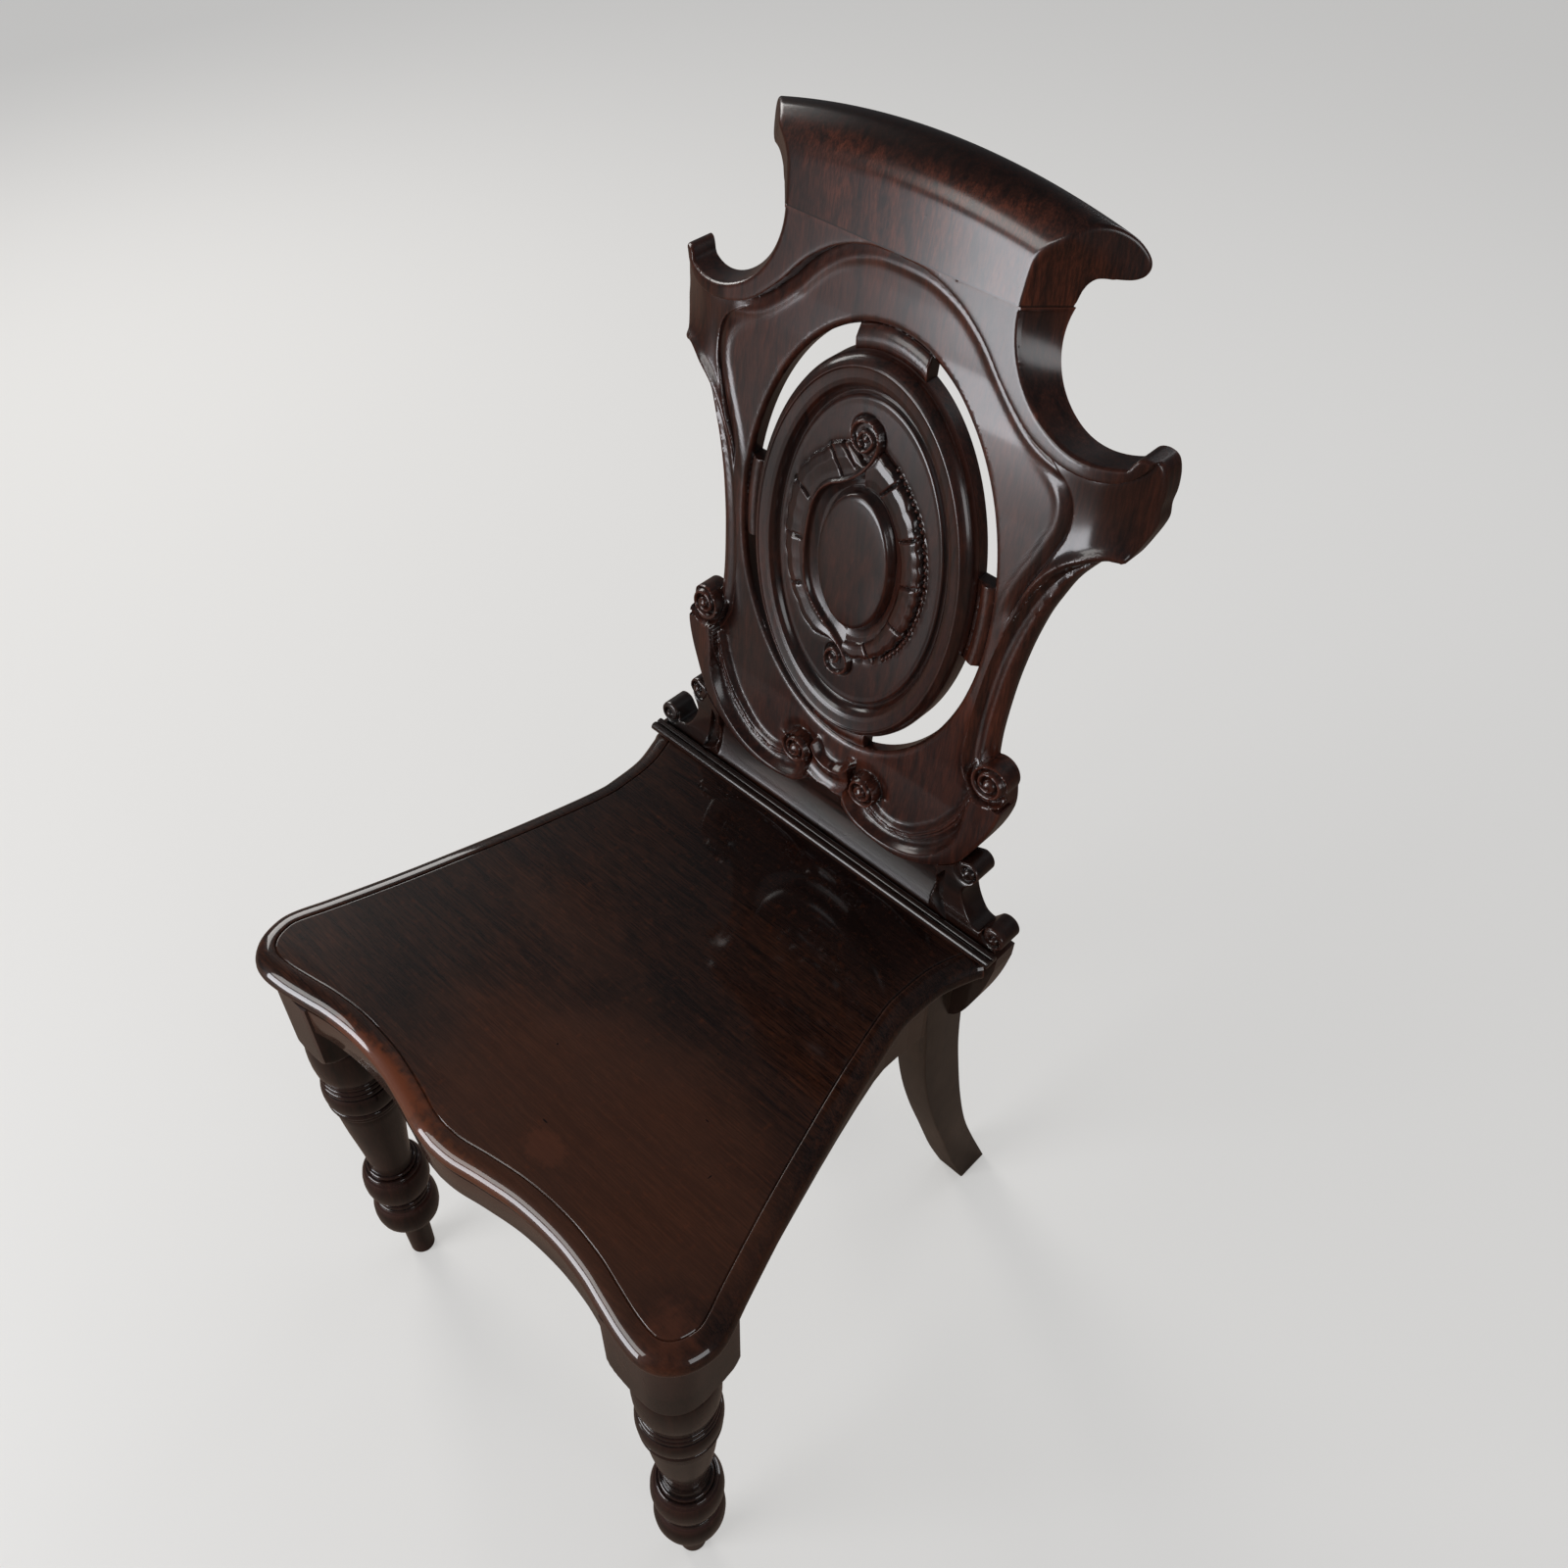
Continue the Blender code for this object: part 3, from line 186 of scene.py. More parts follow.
LEG_BEADS = (
    (0.0820, 0.0165, 0.0270, 0.0210), (0.1005, 0.0022, 0.0226, 0.0212),
    (0.1060, 0.0028, 0.0222, 0.0206), (0.1300, 0.0165, 0.0270, 0.0212),
    (0.1485, 0.0022, 0.0226, 0.0206), (0.1530, 0.0024, 0.0200, 0.0178),
)
SHAFT_TURNING = ((0.0172, 0.1565), (0.0176, 0.165), (0.0185, 0.178), (0.0199, 0.192),
                 (0.0214, 0.206), (0.0229, 0.220), (0.0241, 0.234), (0.0250, 0.246),
                 (0.0257, 0.2535), (0.0254, 0.2552))
LEG_RINGS = (
    (0.2580, 0.0026, 0.0272, 0.0258), (0.2632, 0.0028, 0.0284, 0.0268),
    (0.2766, 0.0106, 0.0293, 0.0262), (0.2900, 0.0026, 0.0274, 0.0258),
    (0.2950, 0.0024, 0.0266, 0.0252), (0.2995, 0.0022, 0.0258, 0.0246),
    (0.3250, 0.0232, 0.0289, 0.0246),
)
BLOCK_SHOULDER = ((0.0270, 0.3488), (0.0281, 0.3492), (0.0284, 0.3505), (0.0290, 0.3510),
                  (0.0292, BLOCK_FOOT))


def turned_bead(height, half_height, radius, groove):
    """A round bead and the groove above it, as (radius, height) pairs."""
    pairs = []
    for i in range(BEAD_STEPS + 1):
        angle = math.pi * (i / BEAD_STEPS - 0.5)
        pairs.append((groove + (radius - groove) * math.cos(angle) ** BEAD_FULLNESS,
                      height + half_height * math.sin(angle)))
    return pairs


def block_reach(angle, side):
    """How far the block's rounded square reaches from the leg's axis at an angle."""
    across, along = math.cos(angle), math.sin(angle)
    outer = across * side > 0 and along < 0
    corner = BLOCK_CORNER if outer else BLOCK_EASING
    middle = BLOCK_HALF - corner
    reach = BLOCK_HALF / max(abs(across), abs(along))
    if min(abs(across), abs(along)) * reach > middle:
        ahead = middle * (abs(across) + abs(along))
        reach = ahead + math.sqrt(max(ahead * ahead - 2 * middle * middle + corner * corner, 0))
    return reach


def finish_mesh(name, bm, crease):
    """Makes the piece, with smooth shading that breaks at creases of the given angle."""
    mesh = bpy.data.meshes.new(name)
    bm.to_mesh(mesh)
    bm.free()
    piece = bpy.data.objects.new(name, mesh)
    bpy.context.scene.collection.objects.link(piece)
    mesh.shade_smooth()
    mesh.set_sharp_from_angle(angle=math.radians(crease))
    return piece


def mahogany(name, dark, warm, grain, streak, roughness, wear, seed, coat=0.5, gloss=0.07):
    """French-polished mahogany, its figure drawn finer along x, y and z as grain is higher, with rubbed
    edges and painted shade in its hollows.
    """
    finish = bpy.data.materials.new(name)
    finish.use_nodes = True
    tree = finish.node_tree
    shader = tree.nodes["Principled BSDF"]
    place = tree.nodes.new("ShaderNodeTexCoord")

    def pattern(scale, size, detail, softness, distortion=0.0):
        turn = tree.nodes.new("ShaderNodeMapping")
        turn.inputs["Location"].default_value = (seed, seed * 0.7, seed * 1.3)
        turn.inputs["Scale"].default_value = size
        tree.links.new(place.outputs["Object"], turn.inputs["Vector"])
        noise = tree.nodes.new("ShaderNodeTexNoise")
        noise.inputs["Scale"].default_value = scale
        noise.inputs["Detail"].default_value = detail
        noise.inputs["Roughness"].default_value = softness
        noise.inputs["Distortion"].default_value = distortion
        tree.links.new(turn.outputs["Vector"], noise.inputs["Vector"])
        return noise.outputs["Fac"]

    def ramp(value, low, high, low_colour, high_colour):
        node = tree.nodes.new("ShaderNodeValToRGB")
        node.color_ramp.elements[0].position = low
        node.color_ramp.elements[0].color = (*low_colour, 1)
        node.color_ramp.elements[1].position = high
        node.color_ramp.elements[1].color = (*high_colour, 1)
        tree.links.new(value, node.inputs["Fac"])
        return node.outputs["Color"]

    figure = pattern(1.0, grain, 5, 0.55, 1.4)
    pores = pattern(1.0, tuple(s * 8 for s in grain), 4, 0.7)
    cloud = pattern(9.0, (1, 1, 1), 3, 0.5)
    streaks = pattern(1.0, tuple(s * 2.7 for s in grain), 4, 0.6, 0.5)
    edges = tree.nodes.new("ShaderNodeNewGeometry").outputs["Pointiness"]
    bright = tuple(c * 1.15 for c in warm)
    dim = tuple(c * 0.55 for c in dark)
    rubbed = tuple(min(c * 2.6 + 0.01, 1) for c in warm)
    crevice_shade = tuple(c * 0.3 for c in dark)
    tone = colour_mix(tree, ramp(figure, 0.40, 0.62, BLACK, WHITE), dark, warm)
    tone = colour_mix(tree, ramp(streaks, 0.38, 0.66, BLACK, grey(0.55)), tone, bright)
    tone = colour_mix(tree, ramp(cloud, 0.35, 0.70, grey(0.15), grey(0.8)), tone, dim)
    tone = colour_mix(tree, streak, tone, ramp(pores, 0.42, 0.60, grey(0.25), WHITE), "MULTIPLY")
    tone = colour_mix(tree, ramp(edges, 0.515, 0.60, BLACK, grey(wear)), tone, rubbed)
    # Painted shade: hollows, where the pointiness is low, are darkened towards black.
    tone = colour_mix(tree, ramp(edges, 0.42, 0.495, grey(0.75), BLACK), tone, crevice_shade)
    tree.links.new(tone, shader.inputs["Base Color"])
    dulled = tree.nodes.new("ShaderNodeMapRange")
    dulled.inputs["From Min"].default_value = 0.3
    dulled.inputs["From Max"].default_value = 0.7
    dulled.inputs["To Min"].default_value = roughness * 0.8
    dulled.inputs["To Max"].default_value = roughness * 1.35
    tree.links.new(cloud, dulled.inputs["Value"])
    tree.links.new(dulled.outputs["Result"], shader.inputs["Roughness"])
    shader.inputs["Coat Weight"].default_value = coat
    shader.inputs["Coat Roughness"].default_value = gloss
    shader.inputs["Specular IOR Level"].default_value = 0.9 - 0.8 * coat
    bump = tree.nodes.new("ShaderNodeBump")
    bump.inputs["Strength"].default_value = 0.25
    bump.inputs["Distance"].default_value = 0.0002
    tree.links.new(pores, bump.inputs["Height"])
    tree.links.new(bump.outputs["Normal"], shader.inputs["Normal"])
    return finish


def wear_and_light_patch(finish, place, reach, colour, amount, rag):
    """Lays a soft-edged patch of another tone round a place, ragged by a noise: wear, stains and
    joints, and also painted light and shade.
    """
    tree = finish.node_tree
    base = tree.nodes["Principled BSDF"].inputs["Base Color"]
    under = base.links[0].from_socket
    coordinate = tree.nodes.new("ShaderNodeTexCoord")
    turn = tree.nodes.new("ShaderNodeMapping")
    turn.inputs["Location"].default_value = tuple(-p / r for p, r in zip(place, reach))
    turn.inputs["Scale"].default_value = tuple(1 / r for r in reach)
    tree.links.new(coordinate.outputs["Object"], turn.inputs["Vector"])
    ball = tree.nodes.new("ShaderNodeTexGradient")
    ball.gradient_type = "SPHERICAL"
    tree.links.new(turn.outputs["Vector"], ball.inputs["Vector"])
    noise = tree.nodes.new("ShaderNodeTexNoise")
    noise.inputs["Scale"].default_value = 3.0 / min(reach)
    noise.inputs["Detail"].default_value = 5
    tree.links.new(coordinate.outputs["Object"], noise.inputs["Vector"])
    ragged = tree.nodes.new("ShaderNodeMath")
    ragged.operation = "MULTIPLY_ADD"
    ragged.inputs[1].default_value = rag
    tree.links.new(noise.outputs["Fac"], ragged.inputs[0])
    tree.links.new(ball.outputs["Fac"], ragged.inputs[2])
    share = tree.nodes.new("ShaderNodeMapRange")
    share.interpolation_type = "SMOOTHSTEP"
    share.inputs["From Min"].default_value = 0.05 + rag * 0.5
    share.inputs["From Max"].default_value = 0.55 + rag * 0.5
    share.inputs["To Max"].default_value = amount
    tree.links.new(ragged.outputs["Value"], share.inputs["Value"])
    tree.links.new(colour_mix(tree, share.outputs["Result"], under, colour), base)


def front_leg(name, side, finish):
    """Turns a leg from its profile, then squares its block."""
    turning = list(FOOT_TURNING)
    for bead in LEG_BEADS:
        turning += turned_bead(*bead)
    turning += list(SHAFT_TURNING)
    for bead in LEG_RINGS:
        turning += turned_bead(*bead)
    turning += list(BLOCK_SHOULDER)
    for i in range(1, POMMEL_STEPS + 1):
        turn = math.pi / 2 * i / POMMEL_STEPS
        turning.append((BLOCK_HALF + POMMEL_FLARE * math.sin(turn),
                        BLOCK_FOOT + POMMEL_HEIGHT * (1 - math.cos(turn))))
    turning += [(BLOCK_HALF + POMMEL_FLARE, RAIL_TOP - JOINT_GAP), (0, RAIL_TOP - JOINT_GAP)]
    bm = bmesh.new()
    verts = [bm.verts.new((r, 0, z)) for r, z in turning]
    edges = [bm.edges.new(pair) for pair in zip(verts, verts[1:])]
    bmesh.ops.spin(bm, geom=verts + edges, cent=(0, 0, 0), axis=(0, 0, 1),
                   angle=math.tau, steps=LEG_SIDES, use_merge=True)
    bmesh.ops.remove_doubles(bm, verts=bm.verts, dist=LEG_WELD)
    for vert in bm.verts:
        radius = math.hypot(vert.co.x, vert.co.y)
        if vert.co.z > BLOCK_FOOT - 0.0001 and radius > 0.001:
            reach = block_reach(math.atan2(vert.co.y, vert.co.x), side)
            share = min(reach / radius, 1)
            vert.co.x *= share
            vert.co.y *= share
    bmesh.ops.recalc_face_normals(bm, faces=bm.faces)
    bmesh.ops.translate(bm, verts=bm.verts, vec=(side * FRONT_LEG_PLACE[0], FRONT_LEG_PLACE[1], 0))
    leg = finish_mesh(name, bm, crease=38)
    leg.data.materials.append(finish)
    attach(leg, "root")
    return leg


leg_finish = mahogany("dark_turned_mahogany", (0.006, 0.003, 0.0025), (0.026, 0.009, 0.006),
                      grain=(70, 70, 9), streak=0.5, roughness=0.30, wear=0.5, seed=3.0,
                      coat=1.0, gloss=0.05)
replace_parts(front_leg("turned_leg_left", -1, leg_finish), "front_left_leg")
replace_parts(front_leg("turned_leg_right", 1, leg_finish), "front_right_leg")

# Rear legs. Each is sawn from a square length of mahogany to a sabre curve that rakes
# backwards, with its long corners eased. It is notched over the rear rail, and the side
# rail is tenoned into it.
REAR_LEG_INNER = 0.107
REAR_LEG_OUTER = 0.135
REAR_LEG_EASING = 0.0016
REAR_LEG_DRAWN = 0.36
CORNER_ANGLE = 0.8
REAR_LEG_FRONT = ((-0.0329, 0.3600), (-0.0302, 0.3312), (-0.0259, 0.3024), (-0.0190, 0.2480),
                  (-0.0080, 0.2027), (0.0080, 0.1562), (0.0280, 0.1069), (0.0510, 0.0504),
                  (0.0750, 0.0))
REAR_LEG_BACK = ((0.1080, 0.0), (0.0760, 0.0670), (0.0570, 0.1120), (0.0410, 0.1645),
                 (0.0280, 0.2200), (0.0210, 0.2592), (0.0170, 0.3085), (0.0170, 0.3600))


def smooth_line(points, steps):
    """Points along a Catmull-Rom curve through the given ones."""
    given = np.array(points, float)
    ends = np.vstack([given[:1], given, given[-1:]])
    line = []
    for before, start, end, after in zip(ends, ends[1:], ends[2:], ends[3:]):
        for t in np.arange(steps) / steps:
            line.append(0.5 * (2 * start + (end - before) * t
                               + (2 * before - 5 * start + 4 * end - after) * t ** 2
                               + (3 * (start - end) + after - before) * t ** 3))
    line.append(given[-1])
    return np.array(line)


def rear_leg(name, side, finish):
    """Saws a leg to its curve, as high as its CAD node, and eases its long corners."""
    node = "rear_right_leg" if side > 0 else "rear_left_leg"
    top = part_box(node)[1].z
    sides = [[(y, z * top / REAR_LEG_DRAWN) for y, z in line]
             for line in (REAR_LEG_FRONT, REAR_LEG_BACK)]
    outline = np.vstack([smooth_line(line, 5) for line in sides])
    bm = bmesh.new()
    face = bm.faces.new([bm.verts.new((0, y + CENTRING, z)) for y, z in outline])
    pushed = bmesh.ops.extrude_face_region(bm, geom=[face])
    moved = [v for v in pushed["geom"] if isinstance(v, bmesh.types.BMVert)]
    bmesh.ops.translate(bm, verts=moved, vec=(REAR_LEG_OUTER - REAR_LEG_INNER, 0, 0))
    bmesh.ops.translate(bm, verts=bm.verts, vec=(REAR_LEG_INNER, 0, 0))
    rims = [e for e in bm.edges if e.calc_face_angle(0) > CORNER_ANGLE
            and abs(e.verts[0].co.x - e.verts[1].co.x) < 1e-6]
    bmesh.ops.bevel(bm, geom=rims, offset=REAR_LEG_EASING, segments=3, affect="EDGES",
                    profile=0.5, material=-1)
    if side < 0:
        bmesh.ops.scale(bm, verts=bm.verts, vec=(-1, 1, 1))
    bmesh.ops.recalc_face_normals(bm, faces=bm.faces)
    leg = finish_mesh(name, bm, crease=40)
    leg.data.materials.append(finish)
    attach(leg, "root")
    return leg


rear_leg_finish = mahogany("olive_brown_mahogany", (0.012, 0.007, 0.004), (0.040, 0.022, 0.012),
                           grain=(60, 60, 8), streak=0.5, roughness=0.32, wear=0.5, seed=5.0)
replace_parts(rear_leg("sabre_leg_left", -1, rear_leg_finish), "rear_left_leg")
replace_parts(rear_leg("sabre_leg_right", 1, rear_leg_finish), "rear_right_leg")

# Seat rails and corner blocks. The rails are mahogany boards shaped to the seat's curve,
# polished outside, the front one a shallow apron tenoned between the leg blocks; the blocks
# behind them are plain wood, screwed into the corners.
QUIRK_LINE = ((0.1500, -0.0020), (0.1460, -0.0100), (0.1375, -0.0360), (0.1355, -0.0640),
              (0.1370, -0.0860), (0.1485, -0.1370), (0.1620, -0.1870), (0.1760, -0.2360),
              (0.1915, -0.2840), (0.1993, -0.3060), (0.2002, -0.3160), (0.1961, -0.3270),
              (0.1871, -0.3330), (0.1710, -0.3323), (0.1510, -0.3283), (0.1290, -0.3237),
              (0.1000, -0.3210), (0.0660, -0.3223), (0.0357, -0.3277), (0.0140, -0.3327),
              (0.0000, -0.3340))
FRONT_RAIL_FOOT = 0.3975
FRONT_RAIL_END = 0.1468
FRONT_RAIL_FACE = 0.013
FRONT_RAIL_THICKNESS = 0.022
FRONT_RAIL_SECTION = ((0.00, 1.00), (0.00, 0.06), (0.02, 0.02), (0.07, 0.00), (0.93, 0.00),
                      (0.98, 0.02), (1.00, 0.06), (1.00, 1.00), (0.00, 1.00))
FRONT_RAIL_STATIONS = np.linspace(-1, 1, 91)
FRONT_CURVE_START = -0.25
WELD = 0.00001


def grid_sheet(columns, rows, place, weld):
    """A grid with its corners laid where place says, given their columns and rows."""
    bm = bmesh.new()
    bmesh.ops.create_grid(bm, x_segments=columns, y_segments=rows, size=1)
    verts = list(bm.verts)
    column = np.rint([(v.co.x + 1) / 2 * columns for v in verts]).astype(int)
    row = np.rint([(v.co.y + 1) / 2 * rows for v in verts]).astype(int)
    for vert, corner in zip(verts, np.column_stack(place(column, row))):
        vert.co = corner
    bmesh.ops.remove_doubles(bm, verts=bm.verts, dist=weld)
    return bm


def close_up(bm):
    """Fills the open rims of a sheet and turns its faces outwards."""
    bmesh.ops.holes_fill(bm, edges=[e for e in bm.edges if e.is_boundary])
    bmesh.ops.recalc_face_normals(bm, faces=bm.faces)


def left_of(line):
    """Unit steps to the left of a line's direction, at each of its points."""
    step = np.gradient(line, axis=0)
    step /= np.linalg.norm(step, axis=1)[:, None]
    return np.column_stack([-step[:, 1], step[:, 0]])


quirk_half = smooth_line(QUIRK_LINE, 6)
quirk = np.vstack([quirk_half, quirk_half[-2::-1] * (-1, 1)])
quirk_out = left_of(quirk)


def front_line(x, outward):
    """Where the seat's front curve lies at x, moved outward by a distance."""
    moved = (quirk + quirk_out * outward)[quirk[:, 1] < FRONT_CURVE_START]
    order = np.argsort(moved[:, 0])
    return np.interp(x, moved[order, 0], moved[order, 1]) + CENTRING


def front_rail_place(column, row):
    """The apron's section, swept along the seat's front curve."""
    inward, level = np.array(FRONT_RAIL_SECTION)[row].T
    x = FRONT_RAIL_STATIONS[column] * FRONT_RAIL_END
    y = front_line(x, FRONT_RAIL_FACE) + inward * FRONT_RAIL_THICKNESS
    z = FRONT_RAIL_FOOT + level * (RAIL_TOP - JOINT_GAP - FRONT_RAIL_FOOT)
    return x, y, z


rail_finish = mahogany("rail_mahogany", (0.012, 0.007, 0.004), (0.036, 0.019, 0.011),
                       grain=(9, 14, 90), streak=0.5, roughness=0.34, wear=0.4, seed=7.0)
block_finish = mahogany("plain_block_wood", (0.16, 0.085, 0.040), (0.30, 0.17, 0.085),
                        grain=(8, 60, 60), streak=0.3, roughness=0.70, wear=0.2, seed=9.0)
apron_finish = mahogany("apron_mahogany", (0.012, 0.006, 0.004), (0.040, 0.017, 0.010),
                        grain=(9, 60, 60), streak=0.5, roughness=0.30, wear=0.4, seed=8.0,
                        coat=1.0, gloss=0.05)
end_finish = mahogany("rear_rail_mahogany", (0.007, 0.003, 0.002), (0.026, 0.009, 0.005),
                      grain=(9, 60, 60), streak=0.5, roughness=0.22, wear=0.4, seed=11.0)
NODE_FINISHES = {
    "left_seat_rail": rail_finish, "right_seat_rail": rail_finish, "rear_seat_rail": end_finish,
    "front_left_corner_block": block_finish, "front_right_corner_block": block_finish,
    "rear_left_corner_block": block_finish, "rear_right_corner_block": block_finish,
}
for node, finish in NODE_FINISHES.items():
    nodes[node].data.materials.clear()
    nodes[node].data.materials.append(finish)
bm = grid_sheet(len(FRONT_RAIL_STATIONS) - 1, len(FRONT_RAIL_SECTION) - 1, front_rail_place, WELD)
close_up(bm)
front_rail = finish_mesh("serpentine_front_rail", bm, crease=35)
front_rail.data.materials.append(apron_finish)
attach(front_rail, "root")
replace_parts(front_rail, "front_seat_rail")

# Seat. One wide board of dark mahogany, cut to a serpentine plan, with a quirk scratched
# along a broad thumb moulding on three sides. It is pocket-screwed down onto the rails.
SEAT_THICKNESS = 0.020
SEAT_EDGE = 0.015
EDGE_SECTION = ((-0.120, 0.000), (-0.095, 0.001), (-0.082, 0.005), (-0.074, 0.012), (-0.022, 0.050),
                (-0.012, 0.055), (0.000, 0.050), (0.012, 0.028), (0.024, 0.010), (0.050, 0.003),
                (0.120, 0.002), (0.220, 0.006), (0.330, 0.017), (0.450, 0.042), (0.560, 0.078),
                (0.650, 0.118), (0.730, 0.165), (0.800, 0.218), (0.860, 0.275), (0.910, 0.335),
                (0.955, 0.410), (0.985, 0.480), (1.000, 0.560), (0.985, 0.650), (0.940, 0.740),
                (0.870, 0.830), (0.780, 0.910), (0.640, 1.000))
# Patches on the seat, as place, reach, colour, amount and rag: painted light and shade, tone, rubbed
# wear along the front edge, and a stain.
SEAT_WEAR_AND_PAINTED_LIGHT = (
    # Painted light: a lighter, warmer patch over the front of the seat, where the window lights it.
    ((0.075, -0.160, 0.445), (0.190, 0.120, 0.1), (0.075, 0.026, 0.012), 0.45, 0.5),
    ((-0.060, -0.060, 0.445), (0.090, 0.030, 0.1), (0.060, 0.021, 0.010), 0.25, 1.0),
    # Painted shade: a near-black patch along the seat's rear, by the foot of the back.
    ((0.020, 0.095, 0.445), (0.160, 0.080, 0.1), (0.003, 0.001, 0.001), 0.75, 0.3),
    ((-0.062, -0.218, 0.437), (0.080, 0.018, 0.024), (0.130, 0.030, 0.008), 0.65, 0.9),
    ((0.035, -0.223, 0.436), (0.100, 0.012, 0.014), (0.100, 0.028, 0.009), 0.60, 0.9),
    ((0.190, -0.205, 0.436), (0.030, 0.030, 0.016), (0.100, 0.028, 0.012), 0.45, 0.6),
    ((0.054, -0.181, 0.445), (0.021, 0.014, 0.01), (0.110, 0.032, 0.014), 0.30, 0.9),
)
SEAT_NICKS = ((0.041, -0.169, 0.0030, 0.0008), (0.004, -0.128, 0.0010, 0.0010),
              (0.083, -0.062, 0.0008, 0.0008), (0.112, -0.100, 0.0020, 0.0006),
              (0.140, -0.125, 0.0006, 0.0022), (0.060, 0.010, 0.0012, 0.0006))
NICK_TONE = (0.002, 0.001, 0.001)
CRACK = ((0.091, -0.2235, 0.437), (0.0011, 0.010, 0.011), (0.001, 0.0005, 0.0005), 1.0, 0.0)


def seat_place(column, row):
    """The edge's section, swept along the quirk."""
    outward, down = np.array(EDGE_SECTION)[row].T
    x, y = (quirk[column] + quirk_out[column] * outward[:, None] * SEAT_EDGE).T
    return x, y + CENTRING, SEAT_HEIGHT - down * SEAT_THICKNESS


bm = grid_sheet(len(quirk) - 1, len(EDGE_SECTION) - 1, seat_place, WELD)
everything = list(bm.verts) + list(bm.edges) + list(bm.faces)
bmesh.ops.bisect_plane(bm, geom=everything, dist=WELD, clear_outer=True,
                       plane_co=(0, CENTRING - JOINT_GAP, 0), plane_no=(0, 1, 0))
rim = [e for e in bm.edges if e.is_boundary]
for level in (SEAT_HEIGHT, SEAT_HEIGHT - SEAT_THICKNESS):
    loop = [e for e in rim if all(abs(v.co.z - level) < 2 * WELD for v in e.verts)]
    bmesh.ops.contextual_create(bm, geom=loop)
close_up(bm)
seat = finish_mesh("serpentine_seat", bm, crease=30)
seat_finish = mahogany("seat_mahogany", (0.013, 0.0045, 0.003), (0.052, 0.017, 0.008),
                       grain=(7, 120, 120), streak=0.85, roughness=0.38, wear=0.6, seed=13.0,
                       coat=1.0, gloss=0.05)
for patch in SEAT_WEAR_AND_PAINTED_LIGHT:
    wear_and_light_patch(seat_finish, *patch)
for x, y, half_wide, half_deep in SEAT_NICKS:
    wear_and_light_patch(seat_finish, (x, y, SEAT_HEIGHT), (half_wide, half_deep, 0.01), NICK_TONE,
               amount=0.9, rag=0.1)
wear_and_light_patch(seat_finish, *CRACK)
seat.data.materials.append(seat_finish)
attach(seat, "root")
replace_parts(seat, "seat_board")

# Reeded strip. Two small beads worked on one slip of mahogany, glued over the joint
# between the seat and the foot of the back.
STRIP_HALF_WIDTH = 0.1649
STRIP_WIDTH = 0.011
STRIP_HEIGHT = 0.005
REED_RADIUS = STRIP_WIDTH / 4
STRIP_END = 0.004
STRIP_END_DROP = 0.25
STRIP_STATIONS = np.concatenate([[-1, -0.9985, -0.996], np.linspace(-0.99, 0.99, 31),
                                 [0.996, 0.9985, 1]])
strip_section = [(-JOINT_GAP, 0.0)]
for reed in (1, 3):
    for turn in np.linspace(0, math.pi, 13):
        strip_section.append((-JOINT_GAP - REED_RADIUS * (reed - math.cos(turn)),
                              STRIP_HEIGHT - REED_RADIUS * (1 - math.sin(turn))))
strip_section = np.array(strip_section + [(-JOINT_GAP - STRIP_WIDTH, 0.0), (-JOINT_GAP, 0.0)])


def strip_place(column, row):
    """The reeds' section, swept from end to end and eased at both."""
    y, z = strip_section[row].T
    end = np.minimum(1 - np.abs(STRIP_STATIONS[column]), STRIP_END) / STRIP_END
    z = z * (1 - STRIP_END_DROP * (1 - end) ** 2)
    return STRIP_STATIONS[column] * STRIP_HALF_WIDTH, y + CENTRING, z + SEAT_HEIGHT + JOINT_GAP


bm = grid_sheet(len(STRIP_STATIONS) - 1, len(strip_section) - 1, strip_place, WELD)
close_up(bm)
strip = finish_mesh("reeded_strip", bm, crease=35)
strip.data.materials.append(end_finish)
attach(strip, "root")
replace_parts(strip, "seat_moulding")

# Back board. A mahogany shield, bent a little backwards, with flaring ears and an oval slot.
# Its field is sunk under an ogee band, and the channels round its hips roll into four
# scrolls. It stands on the plinth and takes a tongue of the crest in its top edge.
MILLIMETRE = 0.001
LEAN = 0.067
BOW = 0.0768
EAR_START = 120
EAR_RADIUS = 91
EAR_BEND = (250, 310)
BOARD = 20
JOINT = 424
BITE_FRONT = (141.5, 423.0, 60.5)
BITE_REAR = (143.5, 410.5, 48.3)
BITE_REAR_DEPTH = 17
BITE_ARC = (179, 285)
BITE_LOWEST = 360
BITE_NEAR = 0.3
WALL_SHARES = (0.05, 0.15, 0.5, 0.85, 0.95, 1)
NET_CELL = 0.28
HEX_RISE = 0.866
OVAL = (232, 99.5, 146)
OVAL_LIP = 4.2
SLOT_WIDTH = 13.5
BRIDGE_HALVES = (26, 23, 28)
BRIDGE_DEPTH = 12
HIP_TOP = 118
BOW_TOP = 74
BOW_HALF = 17.6
EAR_RISE = (238, 262)
SCROLL_SPREAD = 0.9
SCROLL_WIND = 0.80
SCROLL_GROOVE = 1.2
SCROLL_EYE = 2.6
RIM_STEP = 1.3
CREASE_STEP = 1.2
CREASE_ROWS = (-3.2, -2.0, -1.2, -0.7, -0.35, 0.35, 0.7, 1.2, 2.0, 3.2)
RIM_ROWS = (0.5, 1.1, 2.0, 3.2)
OVAL_ROWS = (-12.6, -11, -9, -6.7, -4.5, -2.5, -1.0, -0.1, 0.1, 0.6, 1.4, 2.6, 4.2)
SIDE_EYE = (126.5, 133.4, 12.5)
CENTRE_EYE = (31.2, 59.5, 11.6)
